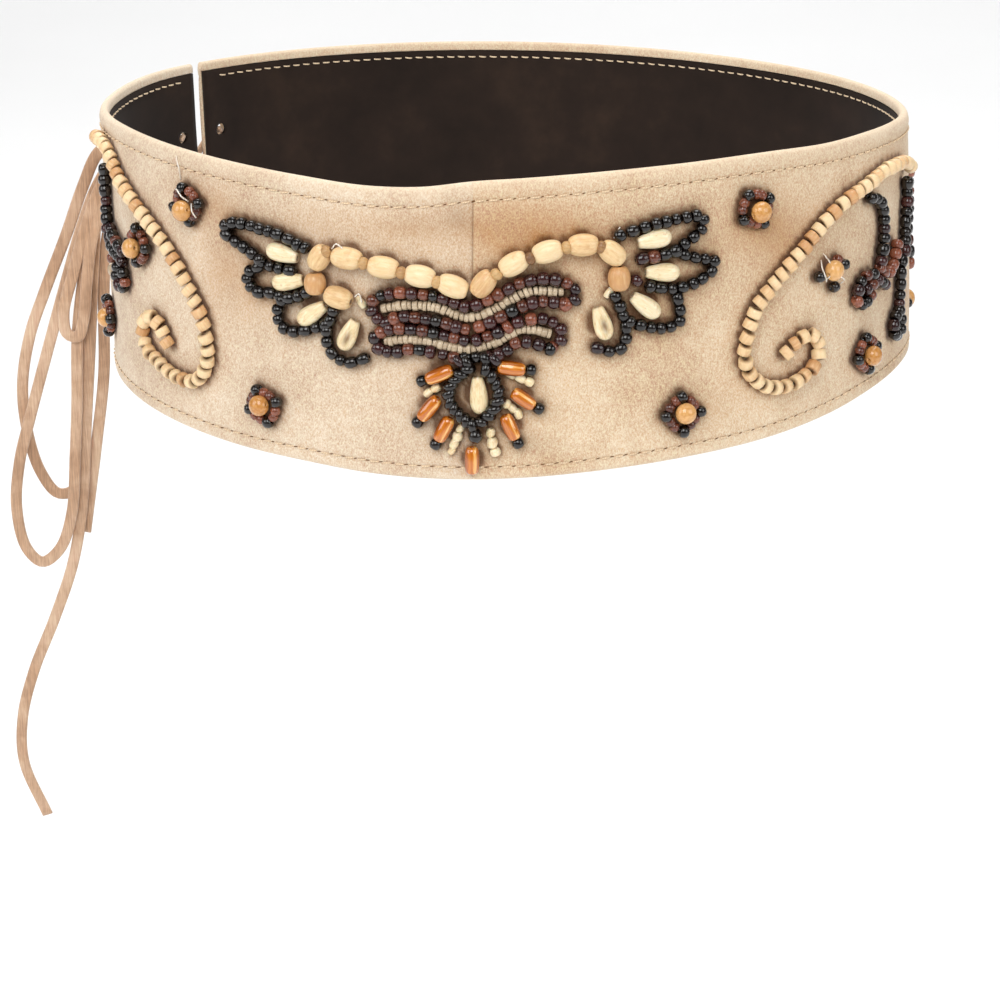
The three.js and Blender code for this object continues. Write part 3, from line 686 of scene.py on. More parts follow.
def beadShell(
    kind, along, rise, tilt, length, width, thick=None, lift=0.1, finish=0, rings=0, turns=12, hollow=0,
    tone=None, lean=0,
):
    # the outline turned round the bead's length, stretched to its sizes, set on the face with its own axes
    thick = width if thick is None else thick
    along, rise, tilt, length, width, thick, lift, finish = np.broadcast_arrays(
        *[np.atleast_1d(a) for a in (along, rise, tilt, length, width, thick, lift, finish)]
    )
    spots, axes = beltAxes(along, rise, thick / 2 + lift, tilt)
    nod = np.radians(np.broadcast_to(lean, along.shape))[:, None]
    first, second, third = np.moveaxis(axes, -1, 0)
    first, third = first * np.cos(nod) + third * np.sin(nod), third * np.cos(nod) - first * np.sin(nod)
    axes = np.stack([first, second, third], -1)
    loop = smoothLoop(outlines[kind], rings) if rings else np.array(outlines[kind])
    rings = len(loop)
    turn = np.linspace(0, 2 * np.pi, turns, endpoint=False)
    local = np.stack([
        np.broadcast_to(loop[:, :1], (rings, turns)), loop[:, 1:] * np.cos(turn), loop[:, 1:] * np.sin(turn),
    ], -1)
    body = local[None] * np.stack([length, width, thick], -1)[:, None, None] / 2
    hole = np.zeros(body.shape[:3])
    if hollow:
        mark = hump(body[..., 0] - 1, 2.6) * hump(body[..., 1] - 0.4, 1.1) * (body[..., 2] > 0)
        body[..., 2] -= hollow * mark
        hole = mark * 0.85
    points = spots[:, None, None] + np.einsum("nptk,njk->nptj", body, axes) * millimetre
    count = len(spots)
    base = outwards(points[0].reshape(-1, 3), gridQuads(rings, turns, True, True))
    quads = copied(base, count, rings * turns)
    own = body + dice.uniform(-50, 50, (count, 1, 1, 3))
    tone = dice.random(count) if tone is None else np.broadcast_to(tone, count)
    tone = np.broadcast_to(tone[:, None, None], body.shape[:3])
    # painted shade: the bore's mouth is darkened, and so are the ends of discs where they face their
    # neighbours and the pierced end of a drop
    dark = np.clip((0.36 - loop[:, 1]) / 0.1, 0, 1)
    if kind == "disc":
        dark = np.maximum(dark, 0.4 * (np.abs(loop[:, 0]) > 0.97))
    if kind == "drop":
        dark = np.maximum(dark, np.clip((-0.9 - loop[:, 0]) / 0.08, 0, 1) * 0.75)
    end_shade = np.broadcast_to(dark[None, :, None], body.shape[:3])
    across = body[..., 1] / (width[:, None, None] / 2)
    beadPlaces.append(np.stack([along, rise + belt["height"] / 2, np.maximum(width, length * 0.8) / 2], -1))
    return {
        "points": points.reshape(-1, 3), "quads": quads, "finish": np.repeat(finish, len(base)),
        "values": {
            "own": own.reshape(-1, 3), "tone": tone.ravel(), "across": across.ravel(),
            "hollow": np.maximum(hole, end_shade * 0.85).ravel(),
        },
    }


def jitter(count, size):
    # seeded draws from -size to size
    return dice.uniform(-size, size, count)


def stringShell(route, bead, letters="k"):
    # beads of one kind threaded along a route of (along, up), each with its own share of the length;
    # letters pick each bead's finish in turn
    fine = routePoints(route, 60 * len(route))
    lengths = measured(fine)
    count = max(2, int(round(lengths[-1] / bead["pitch"])) + 1)
    shares = 1 + jitter(count, bead["varied"])
    middles = np.cumsum(shares) - shares / 2
    stops = (middles - middles[0]) / (middles[-1] - middles[0]) * lengths[-1]
    spots, ahead, behind = [
        np.stack([np.interp(stops + step, lengths, fine[:, k]) for k in (0, 1)], -1) for step in (0, 0.4, -0.4)
    ]
    heading = ahead - behind
    tilt = np.degrees(np.arctan2(heading[:, 1], heading[:, 0])) + jitter(count, bead["sway"])
    tilt = tilt + bead.get("slant", 0)
    finish = [bead["finishes"].index(letters[k % len(letters)]) for k in range(count)]
    return beadShell(
        bead["kind"], spots[:, 0] + jitter(count, 0.12),
        spots[:, 1] - belt["height"] / 2 + jitter(count, 0.12), tilt,
        bead["length"] * shares, bead["width"] * (1 + jitter(count, bead["uneven"])),
        lift=bead["lift"] + jitter(count, 0.08),
        finish=finish, turns=bead["turns"], lean=bead.get("lean", 0) + jitter(count, bead.get("loose", 3)),
        tone=dice.random(count) ** bead.get("fade", 1),
    )


# The brows: oval wooden beads from the centre outwards, with small spacers between them.
brows = {
    "width": 7.6, "spacer": {"length": 3.6, "width": 4.4},
    "beads": [  # name, along, rise, tilt, length, how tan its wood is
        ("left_oval_1", -6.1, 15.3, -19, 10.4, 0.3), ("left_oval_2", -16.9, 18.3, -9, 10.2, 0.2),
        ("left_oval_3", -29.2, 20.6, -6, 10.4, 0.4), ("left_oval_4", -41.8, 22.7, -4, 10.6, 0.45),
        ("left_oval_5", -51.6, 21.9, 60, 8.6, 0.6), ("left_oval_6", -53.4, 12.8, -86, 7.4, 0.95),
        ("left_oval_7", -45.1, 8.9, -13, 9.6, 0.6), ("right_oval_1", 3.8, 16.4, 52, 9.4, 0.75),
        ("right_oval_2", 13.4, 23.1, 29, 9.8, 0.3), ("right_oval_3", 24.2, 27.1, 15, 10, 0.25),
        ("right_oval_4", 35.7, 29.1, 1, 10, 0.6), ("right_oval_5", 45.2, 26, -38, 9.2, 0.5),
        ("right_oval_6", 47.4, 17.4, -88, 8.2, 1.0),
    ],
    "spacers": [  # along, rise, tilt
        (-11.2, 16.9, -14), (-22.9, 19.5, -8), (-35.6, 21.8, -5), (-48.4, 24.6, 30), (8, 20, 50),
        (18.7, 25.3, 22),
        (30.2, 28.8, 8), (41.2, 28.6, -20),
    ],
}
for name, along, rise, tilt, length, tan in brows["beads"]:
    shell = beadShell("oval", along, rise, tilt, length, brows["width"], rings=36, turns=32, tone=tan)
    makePiece(name + "_wood", [shell], [paleWood], [name])
spacers = np.array(brows["spacers"])
spacerShell = beadShell(
    "ball", *spacers.T, brows["spacer"]["length"], brows["spacer"]["width"], lift=3.0, rings=20, turns=20
)
makePiece("brow_spacers", [spacerShell], [spacerWood], ())

# Drops cut from shell; the ones with a hollow show the inside of the whorl.
drops = {
    "width": 6.3, "thick": 4.6,
    "beads": [  # name, along, rise, tilt, length, hollow
        ("left_shell_1", -66.4, 21.2, 172, 12.4, 0), ("left_shell_2", -64.4, 11.8, -168, 12.4, 0),
        ("left_shell_3", -55.5, 1.8, -145, 12.4, 0),
        ("left_shell_4", -42.2, -4.1, -115, 11.8, 0.8), ("right_shell_1", 59.6, 29.3, 8, 12, 0),
        ("right_shell_2", 62.3, 18, -5, 12.2, 0),
        ("right_shell_3", 56.5, 7.1, -38, 12.2, 0), ("right_shell_4", 42.1, 2.1, -73, 12, 1.3),
        ("centre_shell", 2.3, -22.3, -86, 13, 0),
    ],
}
for name, along, rise, tilt, length, hollow in drops["beads"]:
    shell = beadShell(
        "drop", along, rise, tilt, length, drops["width"], drops["thick"], rings=40, turns=32, hollow=hollow
    )
    makePiece(name + "_drop", [shell], [cutShell], [name])

# Amber glass tubes that fan out under the centre, each with a seed bead at its outer end.
tubes = {
    "width": 5.2,
    "beads": [  # name, along, rise, tilt towards the outer end, length, end bead
        ("glass_left_1", -10.8, -15.6, 204, 10, 1), ("glass_left_2", -14.3, -27.6, 232, 10, 1),
        ("glass_left_3", -9.3, -34.6, 243, 9.4, 1),
        ("glass_centre", 0.2, -45.2, 270, 9.6, 0), ("glass_right_3", 12.4, -33.2, -66, 9.4, 1),
        ("glass_right_2", 16.6, -23.4, -35, 9, 1),
        ("glass_right_1", 12.8, -12.8, -6, 9.4, 1),
    ],
    "end": {"length": 3.6, "width": 4.3},
}
for name, along, rise, tilt, length, ended in tubes["beads"]:
    shells = [beadShell("tube", along, rise, tilt, length, tubes["width"], rings=32, turns=28)]
    if ended:
        reach = (length + tubes["end"]["length"]) / 2 - 0.2
        way = np.radians(tilt)
        place = (along + reach * np.cos(way), rise + reach * np.sin(way), tilt)
        shells.append(
            beadShell("seed", *place, tubes["end"]["length"], tubes["end"]["width"], finish=1, turns=16)
        )
    makePiece(name + "_glass", shells, [amberGlass, jetGlass], [name])
print("large beads set")

# Strings of seed beads. Letters: k black, g garnet, c copper, w cream.
seed = {
    "kind": "seed", "pitch": 3.8, "length": 4.0, "width": 4.5, "uneven": 0.08, "varied": 0.22, "sway": 9,
    "finishes": "kgcw",
    "lift": 0.02, "turns": 12,
}
browSeed = {**seed, "pitch": 3.7, "length": 3.9, "uneven": 0.11, "varied": 0.16}
creamSeed = {
    **seed, "kind": "disc", "pitch": 1.7, "length": 1.6, "width": 3.4, "sway": 7, "uneven": 0.1,
    "varied": 0.25, "turns": 10,
}
ringSeed = {**seed, "pitch": 2.9, "length": 3.1, "width": 5.7, "varied": 0.1, "slant": 42}
seedGlasses = [jetGlass, garnetGlass, copperGlass, creamGlass]
wings = {
    "left_wing": [
        (
            "k", [
                (-57.5, 75.2), (-66, 78), (-77, 80), (-86, 80.3), (-89.5, 79), (-90.3, 76.5), (-87, 74.3),
                (-80, 71.3), (-75.5, 69)
            ]
        ),
        ("k", [(-75.5, 68.2), (-70, 67.1), (-63.5, 66.8)]),
        ("k", [(-76.5, 66), (-80, 64), (-81, 60.5), (-78, 57.8), (-71, 57.8), (-64, 57), (-57.5, 59.6)]),
        ("k", [(-67, 55.8), (-68.8, 51.5), (-68.6, 48), (-65, 45.8), (-58, 46.6), (-50.5, 49.6)]),
        ("k", [(-47.5, 54.5), (-49.8, 48), (-49.8, 42.5), (-47, 38.4), (-42.5, 37.2), (-37.2, 38.8)]),
    ],
    "right_wing": [
        ("kkkkkk", [(48.2, 82.4), (55, 84.4), (64, 86), (76.5, 86.6), (76.3, 82.5), (72, 79), (66.8, 76)]),
        ("kkcg", [(67, 75.4), (61, 74.6), (55.5, 74)]),
        ("k", [(70.3, 74.2), (76, 72.4), (81, 71), (79.3, 67), (72, 63.8), (65, 63.2), (58, 64.6)]),
        ("g", [(53.5, 67), (53.4, 66.9)]),
        ("k", [(67.5, 59.6), (68.4, 55), (68, 51), (64.5, 50), (57.5, 50.6), (51.5, 53)]),
        ("kkkkkkkg", [(46.5, 62), (48.7, 56.5), (50, 50.5), (49.2, 45), (46.5, 43), (40.5, 44.4)]),
    ],
}
pendants = {
    "left_pendant": [
        (
            "kkkgkkgg", [
                (-170.5, 83), (-170.5, 74), (-170, 66), (-168.5, 60.5), (-164.5, 56.5), (-158, 54.5),
                (-153.5, 53)
            ]
        ),
        ("gkckg", [(-165.5, 62), (-160.5, 59.5), (-156, 58.2), (-152, 56.8)]),
        ("kckgk", [(-151.5, 49), (-150.5, 45), (-154.5, 42.8), (-158.5, 45.2), (-158, 49.5)]),
        ("cw", [(-163.5, 51.5), (-162, 47.5)]),
    ],
    "right_pendant": [
        ("kkkkkgkkgk", [(152.5, 82), (157, 80.5), (160.8, 76.5), (162.3, 70), (161.5, 63.5), (159.5, 57.5)]),
        ("cccc", [(159, 55), (164.5, 51.8), (170, 53.6), (173.6, 60.2)]),
        ("gkgk", [(157.5, 51), (162.5, 48.2)]),
        ("kckgck", [(153.8, 54), (148.5, 54.2), (144.5, 51), (143.6, 46.8), (147.6, 44.4), (152.6, 46.6)]),
        ("gck", [(149.4, 49.6), (153, 50.4)]),
    ],
    "right_stem": [
        ("kkgkk", [
            (185.6, 80), (187, 75.5), (185.3, 70.5), (184.3, 65), (183.6, 59), (182, 54.5), (178.6, 51),
            (177.6, 46),
            (176.8, 41), (176, 37.5),
        ]),
        ("kkgkkk", [(175, 35), (171.6, 33.2), (169.8, 29.4), (172.2, 26), (176.2, 26.6), (177.6, 30.8)]),
    ],
    "right_edge_string": [("ckcgkkk", [(230.5, 73), (231, 62), (231, 51), (230.5, 37)])],
}
ring = {
    "centre_ring": [
        ("k", [(-1.4, 37.8), (-4.6, 35), (-7.2, 31), (-7.7, 27.4), (-5.6, 23.6), (-2.8, 20.6), (0.4, 18.4)]),
        ("k", [(4.6, 38), (7.2, 34.4), (8.7, 30.2), (8.4, 26.4), (6, 22.4), (3.2, 19.6)]),
        ("gk", [(-4.4, 40.6), (-1.4, 40.2)]),
        ("kg", [(4.4, 41.6), (7.4, 41.2)]),
    ],
}
for name, rows in {**wings, **pendants, **ring}.items():
    bead = ringSeed if name in ring else seed
    shells = [stringShell(route, bead, letters) for letters, route in rows]
    if name in ring:
        shells.append(beadShell("ball", 1.3, -36.4, 15, 5.0, 5.4, lift=0.3, rings=20, turns=20))
    makePiece(name + "_beads", shells, seedGlasses, [name])

# The two banded brows under the ovals: rows of dark and copper beads round strands of small cream ones.
bands = {
    "upper_band": {
        "dark": [
            (
                "ggckgcgckg", [
                    (-32, 53.4), (-34, 56.8), (-33, 60.2), (-28, 62.2), (-19, 62.9), (-11, 61.8), (-2.4, 59.2)
                ]
            ),
            (
                "gccgcgggcggc", [
                    (1.6, 59.8), (8.8, 63.6), (15.5, 67.2), (23, 68.8), (29, 67.8), (33, 65.2),
                    (33.4, 61.8), (30, 59.8)
                ]
            ),
            ("gcgcgkcgc", [(-29, 52), (-25, 54.2), (-17, 54.4), (-9, 53), (-2.2, 51)]),
            ("cgckcgcg", [(2.4, 52.2), (9, 55.6), (16.4, 59.4), (22, 61), (29.6, 60)]),
        ],
        "cream": [
            [
                (-29.6, 57), (-20, 58.6), (-11, 58), (-3.6, 55.4), (1, 55.4), (7, 58), (13, 61.8),
                (19, 64.2), (28.6, 64)
            ]
        ],
    },
    "lower_band": {
        "dark": [
            ("cgcgckgcg", [(-31, 48.8), (-27, 50.2), (-19, 50.3), (-11, 49.2), (-2.6, 47.4)]),
            (
                "gcgcgcggg", [
                    (1.6, 47.6), (8, 50.2), (14.4, 53.8), (20.6, 55.2), (26.4, 53.8), (29, 51),
                    (28.8, 47.8), (26, 45)
                ]
            ),
            ("ggggck", [(-33, 46.8), (-32.4, 43.6), (-27.6, 41.9), (-21, 43.4), (-14, 43)]),
            ("gckkg", [(-9.6, 42.2), (-5, 41.4), (3, 41.8), (8.6, 42.8)]),
            ("gcggkg", [(11.4, 44.4), (15.4, 47.4), (19.8, 46.6), (25.2, 44.6)]),
        ],
        "cream": [
            [
                (-29, 45.6), (-21, 46.8), (-13, 46.2), (-4, 44.4), (2, 44.8), (8, 47), (13.6, 50.4),
                (18.6, 51.4), (25, 49.8)
            ]
        ],
    },
}
for name, rows in bands.items():
    shells = [stringShell(route, browSeed, letters) for letters, route in rows["dark"]]
    shells += [stringShell(route, creamSeed, "w") for route in rows["cream"]]
    makePiece(name + "_beads", shells, seedGlasses, [name])

# Short strands of cream chips between the tubes, and the odd cream bead beside the ovals.
chips = {
    "bead": {
        **seed, "length": 3.4, "pitch": 3.1, "width": 3.0, "uneven": 0.3, "sway": 25, "finishes": "w",
        "fade": 2
    },
    "strands": [
        [(12.6, 35.4), (16, 34.2), (18.6, 33)], [(-3.8, 16.4), (-5.4, 12.4), (-6.8, 8.4)],
        [(6.2, 15.4), (6.6, 12.2), (7.6, 8.8)],
        [(11.4, 25.4), (13.4, 23.8), (15, 22)], [(-12, 30.2), (-14.8, 28.6)], [(-38.6, 59), (-37.6, 57.6)],
        [(45.6, 63.6), (44.4, 62.8)],
    ],
}
makePiece(
    "cream_chips", [stringShell(route, chips["bead"], "w") for route in chips["strands"]], [cutShell], (),
)
print("seed beads strung")

# The scrolls: strings of turned discs.
scrolls = {
    "disc": {
        "kind": "disc", "pitch": 4.35, "length": 3.5, "width": 5.1, "finishes": "d", "sway": 7,
        "uneven": 0.05, "varied": 0.12,
        "lift": 0.05, "lean": -17, "loose": 8, "turns": 14, "fade": 2.2,
    },
    "left_scroll": [
        (-177, 42.6), (-170, 42.4), (-163, 40.5), (-152, 33), (-142, 27.5), (-132, 22.5), (-123, 17),
        (-114.5, 9.5),
        (-108.5, 2), (-103, -6), (-100.5, -14), (-100, -21), (-102.5, -27.5), (-107, -31), (-114, -32),
        (-121, -31),
        (-128, -28.5), (-134.5, -25.5), (-137, -19.5), (-134.5, -15), (-130.5, -13), (-126, -14.5),
        (-121.5, -20.5),
    ],
    "right_scroll": [
        (189.5, 34.5), (184.5, 36.8), (178.5, 38.4), (170.5, 39), (162.5, 39), (148.5, 36), (137.5, 33),
        (127.5, 28),
        (119.5, 22), (109.5, 14), (102.5, 8), (97, 2), (93.5, -6), (92, -14), (94, -21), (99.5, -26),
        (107, -28), (115, -26.5), (121.5, -22.5), (123.5, -16.5), (119.5, -11.5), (114, -12.5), (109, -16),
    ],
}
for name in ("left_scroll", "right_scroll"):
    route = np.array(scrolls[name]) + (0, belt["height"] / 2)
    shell = stringShell(route, scrolls["disc"], "d")
    makePiece(name + "_discs", [shell], [discWood], [name])

# The flowers: a round honey-coloured bead in a ring of four black seed beads and eight small copper ones.
flowers = {
    "kept": {"flower_6": (0, 2, 3, 4)},  # the seeds that a worn flower still has
    "ring": 6.1, "seed": {"length": 3.6, "width": 4.3}, "middle": {"length": 7.2, "width": 7.4, "thick": 6.3},
    "heads": [  # name, along, rise, turn of the ring, the middle's shift along and up, and its lift
        ("flower_1", -108, 32, 12, (0.4, -1.6, 1.8)), ("flower_2", -139, 11.2, 0, (0, -0.6, 1.8)),
        ("flower_3", -76, -34, 20, (0.2, 0.9, 1.6)), ("flower_4", -179, -26, 5, (2.4, 0, 0.6)),
        ("flower_5", 97, 36, 30, (0.4, -0.6, 1.8)), ("flower_6", 130, 9.3, 12, (-1.2, 0.8, 1.4)),
        ("flower_7", 69.5, -32, 0, (0.2, 0.9, 1.6)), ("flower_8", 150.5, -25.5, 8, (0, -0.4, 1.6)),
        ("flower_9", 240, -31, 0, (-0.6, 0, 0.8)),
    ],
}
for name, along, rise, turn, shift in flowers["heads"]:
    corners = turn + 90 * np.arange(4)
    way = np.radians(np.concatenate([corners, corners + 31, corners + 59]) + jitter(12, 4))
    kept = np.isin(np.arange(12), flowers["kept"].get(name, range(12)))
    small = np.arange(12) >= 4
    reach = flowers["ring"] - 1.1 * small + jitter(12, 0.25)
    columns = np.stack([
        along + reach * np.cos(way), rise + reach * np.sin(way), np.degrees(way) + 90 + jitter(12, 20),
        flowers["seed"]["length"] * (1 - 0.12 * small),
        flowers["seed"]["width"] * (1 - 0.14 * small + jitter(12, 0.06)),
    ])
    ringShell = beadShell("seed", *columns[:, kept], lift=0.2, finish=small[kept].astype(int))
    middle = flowers["middle"]
    middleShell = beadShell(
        "ball", along + shift[0], rise + shift[1], 15, middle["length"], middle["width"], middle["thick"],
        shift[2],
        finish=2, rings=34, turns=32,
    )
    makePiece(name + "_head", [ringShell, middleShell], [jetGlass, copperGlass, honeyGlass], [name])
print("scrolls and flowers set")

# The suede runs from the closing to the seam and on to the closing; at the seam the two sides just overlap.
edges = {
    "left": (closure["along"] + closure["gap"] / 2, 0.02),
    "right": (-0.02, girth + closure["along"] - closure["gap"] / 2),
}
holeAlongs = [closure["along"] + side * (closure["gap"] / 2 + closure["inset"]) for side in (-1, 1)]
panels = {
    "station": stitching["pitch"] / 4, "rim": 1.5, "zone": 12,
    "topRows": (12, 11, 10, 9, 8.2, 7.6, 7.1, 6.75, 6.5, 6.3, 6.1, 5.85, 5.5, 5, 4.4, 3.7, 3, 2.3),
    "lowRows": (2.2, 3, 3.6, 4.1, 4.4, 4.6, 4.8, 5, 5.2, 5.5, 6, 6.7, 7.5, 8.5, 9.7, 11),
    "stains": [  # along, up, length, height, strength
        (14, 86, 26, 9, 0.5), (-22, 84, 14, 5, 0.22), (-52, 84, 20, 6, 0.25), (60, 62, 22, 20, 0.2),
        (98, 80, 16, 10, 0.3),
        (-84, 58, 16, 14, 0.35), (-100, 84, 16, 9, 0.4), (30, 78, 30, 8, 0.25), (2, 34, 26, 22, 0.22),
        (110, 76, 16, 12, 0.3),
        (-96, 66, 8, 14, 0.2), (84, 20, 20, 8, 0.15),
    ],
    "smudges": [(-5, 89, 5, 5, 0.5), (20, 10, 9, 4, 0.3), (-14, 86, 14, 5, 0.2), (-3, 12, 6, 5, 0.25)],
}


def panelSection():
    # the closed section as (share of the way up, lift over that, depth under the face)
    rim, zone, thick = panels["rim"], panels["zone"], belt["thickness"]
    middle = np.linspace(0, 1, 60)
    turn = np.linspace(0, np.pi, 10)
    hem = np.linspace(rim, belt["hem"], 4)
    parts = [
        [(0, rise, 0) for rise in panels["lowRows"]],
        [(share, zone * (1 - 2 * share), 0) for share in middle],
        [(1, -fall, 0) for fall in panels["topRows"][1:]],
        [(1, rim * (np.sin(a) - 1), thick * (1 - np.cos(a)) / 2) for a in turn],
        [(1, -fall, thick) for fall in hem[1:]],
        [(1, -belt["hem"], belt["suede"])],
        [(share, belt["hem"] * (1 - 2 * share), belt["suede"]) for share in np.linspace(1, 0, 9)[1:]],
        [(0, fall, thick) for fall in hem[::-1]],
        [(0, rim * (1 - np.sin(a)), thick * (1 + np.cos(a)) / 2) for a in turn[1:]],
    ]
    return np.array([row for part in parts for row in part])


def clearDistance(along, up):
    # distance from each place on the face to the nearest bead's edge
    beads = np.concatenate(beadPlaces)
    nearest = np.full(along.shape, 1e3)
    for bead in beads:
        nearest = np.minimum(nearest, np.hypot(along - bead[0], up - bead[1]) - bead[2])
    return nearest


def blots(rows, along, up):
    # soft oval marks added up, from rows of (along, up, length, height, strength)
    return sum(row[4] * hump(along - row[0], row[2]) * hump(up - row[1], row[3]) for row in rows)


def panelShell(start, end):
    # the section carried along the belt between its rims, set out by the face's swell and sunk at the seam
    section = panelSection()
    count = int(round((end - start) / panels["station"]))
    station = panels["station"]
    along = np.linspace(np.round(start / station), np.round(end / station), count + 1) * station
    along[0], along[-1] = start, end
    if start > closure["along"] / 2:
        along = np.concatenate([[start, 0.25, 0.6], along[1:]])
    else:
        along = np.concatenate([along[:-1], [-0.6, -0.25, end]])
    low, high = rimHeights(along)
    share, lift, depth = section.T[:, None]
    up = low[:, None] * (1 - share) + high[:, None] * share + lift
    reach = along[:, None] + 0 * up
    nearness = 1 - np.clip(depth / belt["suede"], 0, 1)
    under = np.clip((high[:, None] - up - 5) / 3, 0, 1)
    onTop = depth < 0.01
    seam = 0.45 * under * hump(reach, 0.6)
    swell = (faceSwell(reach, up) - seam) * np.where(onTop, 1, nearness)
    points = onBelt(reach, up, swell - depth).reshape(-1, 3)
    quads, caps = tubeFaces(points, *up.shape)
    fromTop, fromLow = high[:, None] - up, up - low[:, None]
    beside = np.clip(clearDistance(reach, up), 0, None)
    # the table's stains, and a halo round the beads that is partly dye stain and partly painted shade
    stain = 1.25 * blots(panels["stains"], reach, up) + 0.35 * np.exp(-beside / 2)
    hole = 0.5 + 0.5 * np.cos(2 * np.pi * reach / stitching["pitch"])
    line = hump(fromTop - stitching["top"], 0.45) + hump(fromLow - stitching["bottom"], 0.45)
    values = {
        "stain": np.clip(stain, 0, 1) * onTop,
        "smudge": blots(panels["smudges"], reach, up),
        # paler at both rims and on the roll's crest below the top: rubbed nap, with a painted highlight on
        # these rounded parts
        "worn": np.clip(
            0.75 * hump(fromTop, 1.6) + 0.6 * hump(fromLow, 1.4) + 0.25 * hump(fromTop - 3, 1.5), 0, 1
        ),
        # painted shade at each stitch hole along the lines of stitches, and in the seam's crease
        "dip": np.maximum(0.2 * line * hole**2, 0.5 * under * hump(reach, 0.3)) * onTop,
        # painted shade close round each bead
        "shade": 0.8 * np.exp(-beside / 0.55) * onTop,
    }
    values = {key: value.ravel() for key, value in values.items()}
    return {"points": points, "quads": quads, "caps": caps, "values": values}


def liningShell(start, end):
    # a thin band whose inner face is a little slack between its rims
    along = np.linspace(start, end, int((end - start) / 2.3))
    low, high = rimHeights(along)
    inset = belt["hem"] + belt["gap"]
    near, far = belt["suede"] + belt["gap"], belt["thickness"]
    share = np.concatenate([np.linspace(0, 1, 6), np.linspace(1, 0, 40)])
    depth = np.concatenate([np.full(6, near), np.full(40, far)])
    up = (low + inset)[:, None] * (1 - share) + (high - inset)[:, None] * share
    reach = along[:, None] + 0 * up
    slack = 0.35 * np.sin(reach / 17 + up / 19) * np.sin(np.pi * share) * (depth > near)
    points = onBelt(reach, up, -depth - np.abs(slack)).reshape(-1, 3)
    quads, caps = tubeFaces(points, *up.shape)
    cloth = np.stack([reach, up, 0 * up], -1).reshape(-1, 3)
    return {"points": points, "quads": quads, "caps": caps, "values": {"cloth": cloth}}


def pinPiece():
    # round pins that stand square to the face, one for each hole of the closing
    places = np.array([(a, rise) for a in holeAlongs for rise in closure["rises"]])
    spots, axes = beltAxes(places[:, 0], places[:, 1], 0, 0)
    turn = np.linspace(0, 2 * np.pi, 24, endpoint=False)
    circle = [closure["hole"] * np.cos(turn), closure["hole"] * np.sin(turn)]
    local = np.stack([np.stack([*circle, turn * 0 + end], -1) for end in (-7, 7)])
    points = spots[:, None, None] + np.einsum("ptk,njk->nptj", local, axes) * millimetre
    quads, lids = tubeFaces(points[0].reshape(-1, 3), 2, len(turn))
    faces = [face for part in (quads, lids) for face in copied(part, len(spots), 2 * len(turn)).tolist()]
    mesh = bpy.data.meshes.new("pins")
    mesh.from_pydata(points.reshape(-1, 3).tolist(), [], faces)
    return addObject("pins", mesh)


def punch(piece, pins):
    # takes the pins out of the piece
    cut = piece.modifiers.new("holes", "BOOLEAN")
    cut.object, cut.operation, cut.solver = pins, "DIFFERENCE", "EXACT"
    bpy.context.view_layer.update()
    made = bpy.data.meshes.new_from_object(piece.evaluated_get(bpy.context.evaluated_depsgraph_get()))
    piece.modifiers.clear()
    piece.data = made


pins = pinPiece()
leftSuede = makePiece("left_panel_suede", [panelShell(*edges["left"])], [suedeLeft], ["left_panel"])
rightSuede = makePiece(
    "right_panel_suede", [panelShell(*edges["right"])], [suedeRight], ["right_panel"]
)
liningBand = makePiece(
    "lining_band", [liningShell(edges["left"][0], edges["right"][1])], [liningTwill], ["lining"]
)
print("panels shaped")
for piece in (leftSuede, rightSuede, liningBand):
    punch(piece, pins)
bpy.data.objects.remove(pins)
print("holes punched")


def stitchPlaces(line, margin, shift):
    # a place at each step along one line of stitches, and the slope of its rim there in degrees
    pitch = stitching["pitch"]
    first, last = edges["left"][0] + margin, edges["right"][1] - margin
    along = (np.arange(np.ceil(first / pitch), np.floor(last / pitch)) + shift) * pitch
    low, high = rimHeights(along)
    up = high - stitching["top"] if line == "top" else low + stitching["bottom"]
    behind, ahead = [rimHeights(along + step)[line == "top"] for step in (-1, 1)]
    return along, up, np.degrees(np.arctan2(ahead - behind, 2))


def stitchShell(line, inside):
    # short threads, each a flat arch whose two ends dip into the leather
    along, up, slope = stitchPlaces(line, 4, 0.5)
    out = -belt["thickness"] - 0.15 if inside else 0.12
    spots, axes = beltAxes(along, up - belt["height"] / 2, out, slope + 4 + jitter(len(along), 3))
    if inside:
        spots = onBelt(along, up, out)
    reach = np.linspace(-1, 1, 9)[:, None]
    turn = np.linspace(0, 2 * np.pi, 8, endpoint=False)
    arch = (0.32 * (1 - reach**2) - 0.5 * reach**6) * (-1 if inside else 1)
    radius = (1 - 0.35 * reach**4) * stitching["radius"]
    lengthwise = reach * stitching["length"] / 2 + 0 * turn
    local = np.stack([lengthwise, radius * np.cos(turn) * 1.25, arch + radius * np.sin(turn)], -1)
    points = spots[:, None, None] + np.einsum("ptk,njk->nptj", local, axes) * millimetre
    quads, caps = [copied(part, len(along), 72) for part in tubeFaces(points[0].reshape(-1, 3), 9, 8)]
    own = np.broadcast_to(np.stack([lengthwise, 0 * reach + turn, 0 * lengthwise], -1), points.shape)
    return {
        "points": points.reshape(-1, 3), "quads": quads, "caps": caps, "values": {"own": own.reshape(-1, 3)}
    }


stitches = [stitchShell(line, inside) for line in ("top", "bottom") for inside in (False, True)]
makePiece("rim_stitches", stitches, [stitchThread], ())


def holeShadeFinish():
    # painted shade: the dark mouth of a needle hole, with a little nap in it
    finish = Finish("needle_hole_shade", **{"Specular IOR Level": 0.1})
    nap = finish.noise(finish.place(), 2600, 2, 0.6)
    return finish.set(colour=finish.mix(nap, tint(76, 50, 30), tint(128, 92, 60)), rough=0.9 + nap * 0.1)


holeShadeSizes = {"top": 1.7, "bottom": 2.2, "width": 0.62, "thick": 0.4, "lift": -0.32}


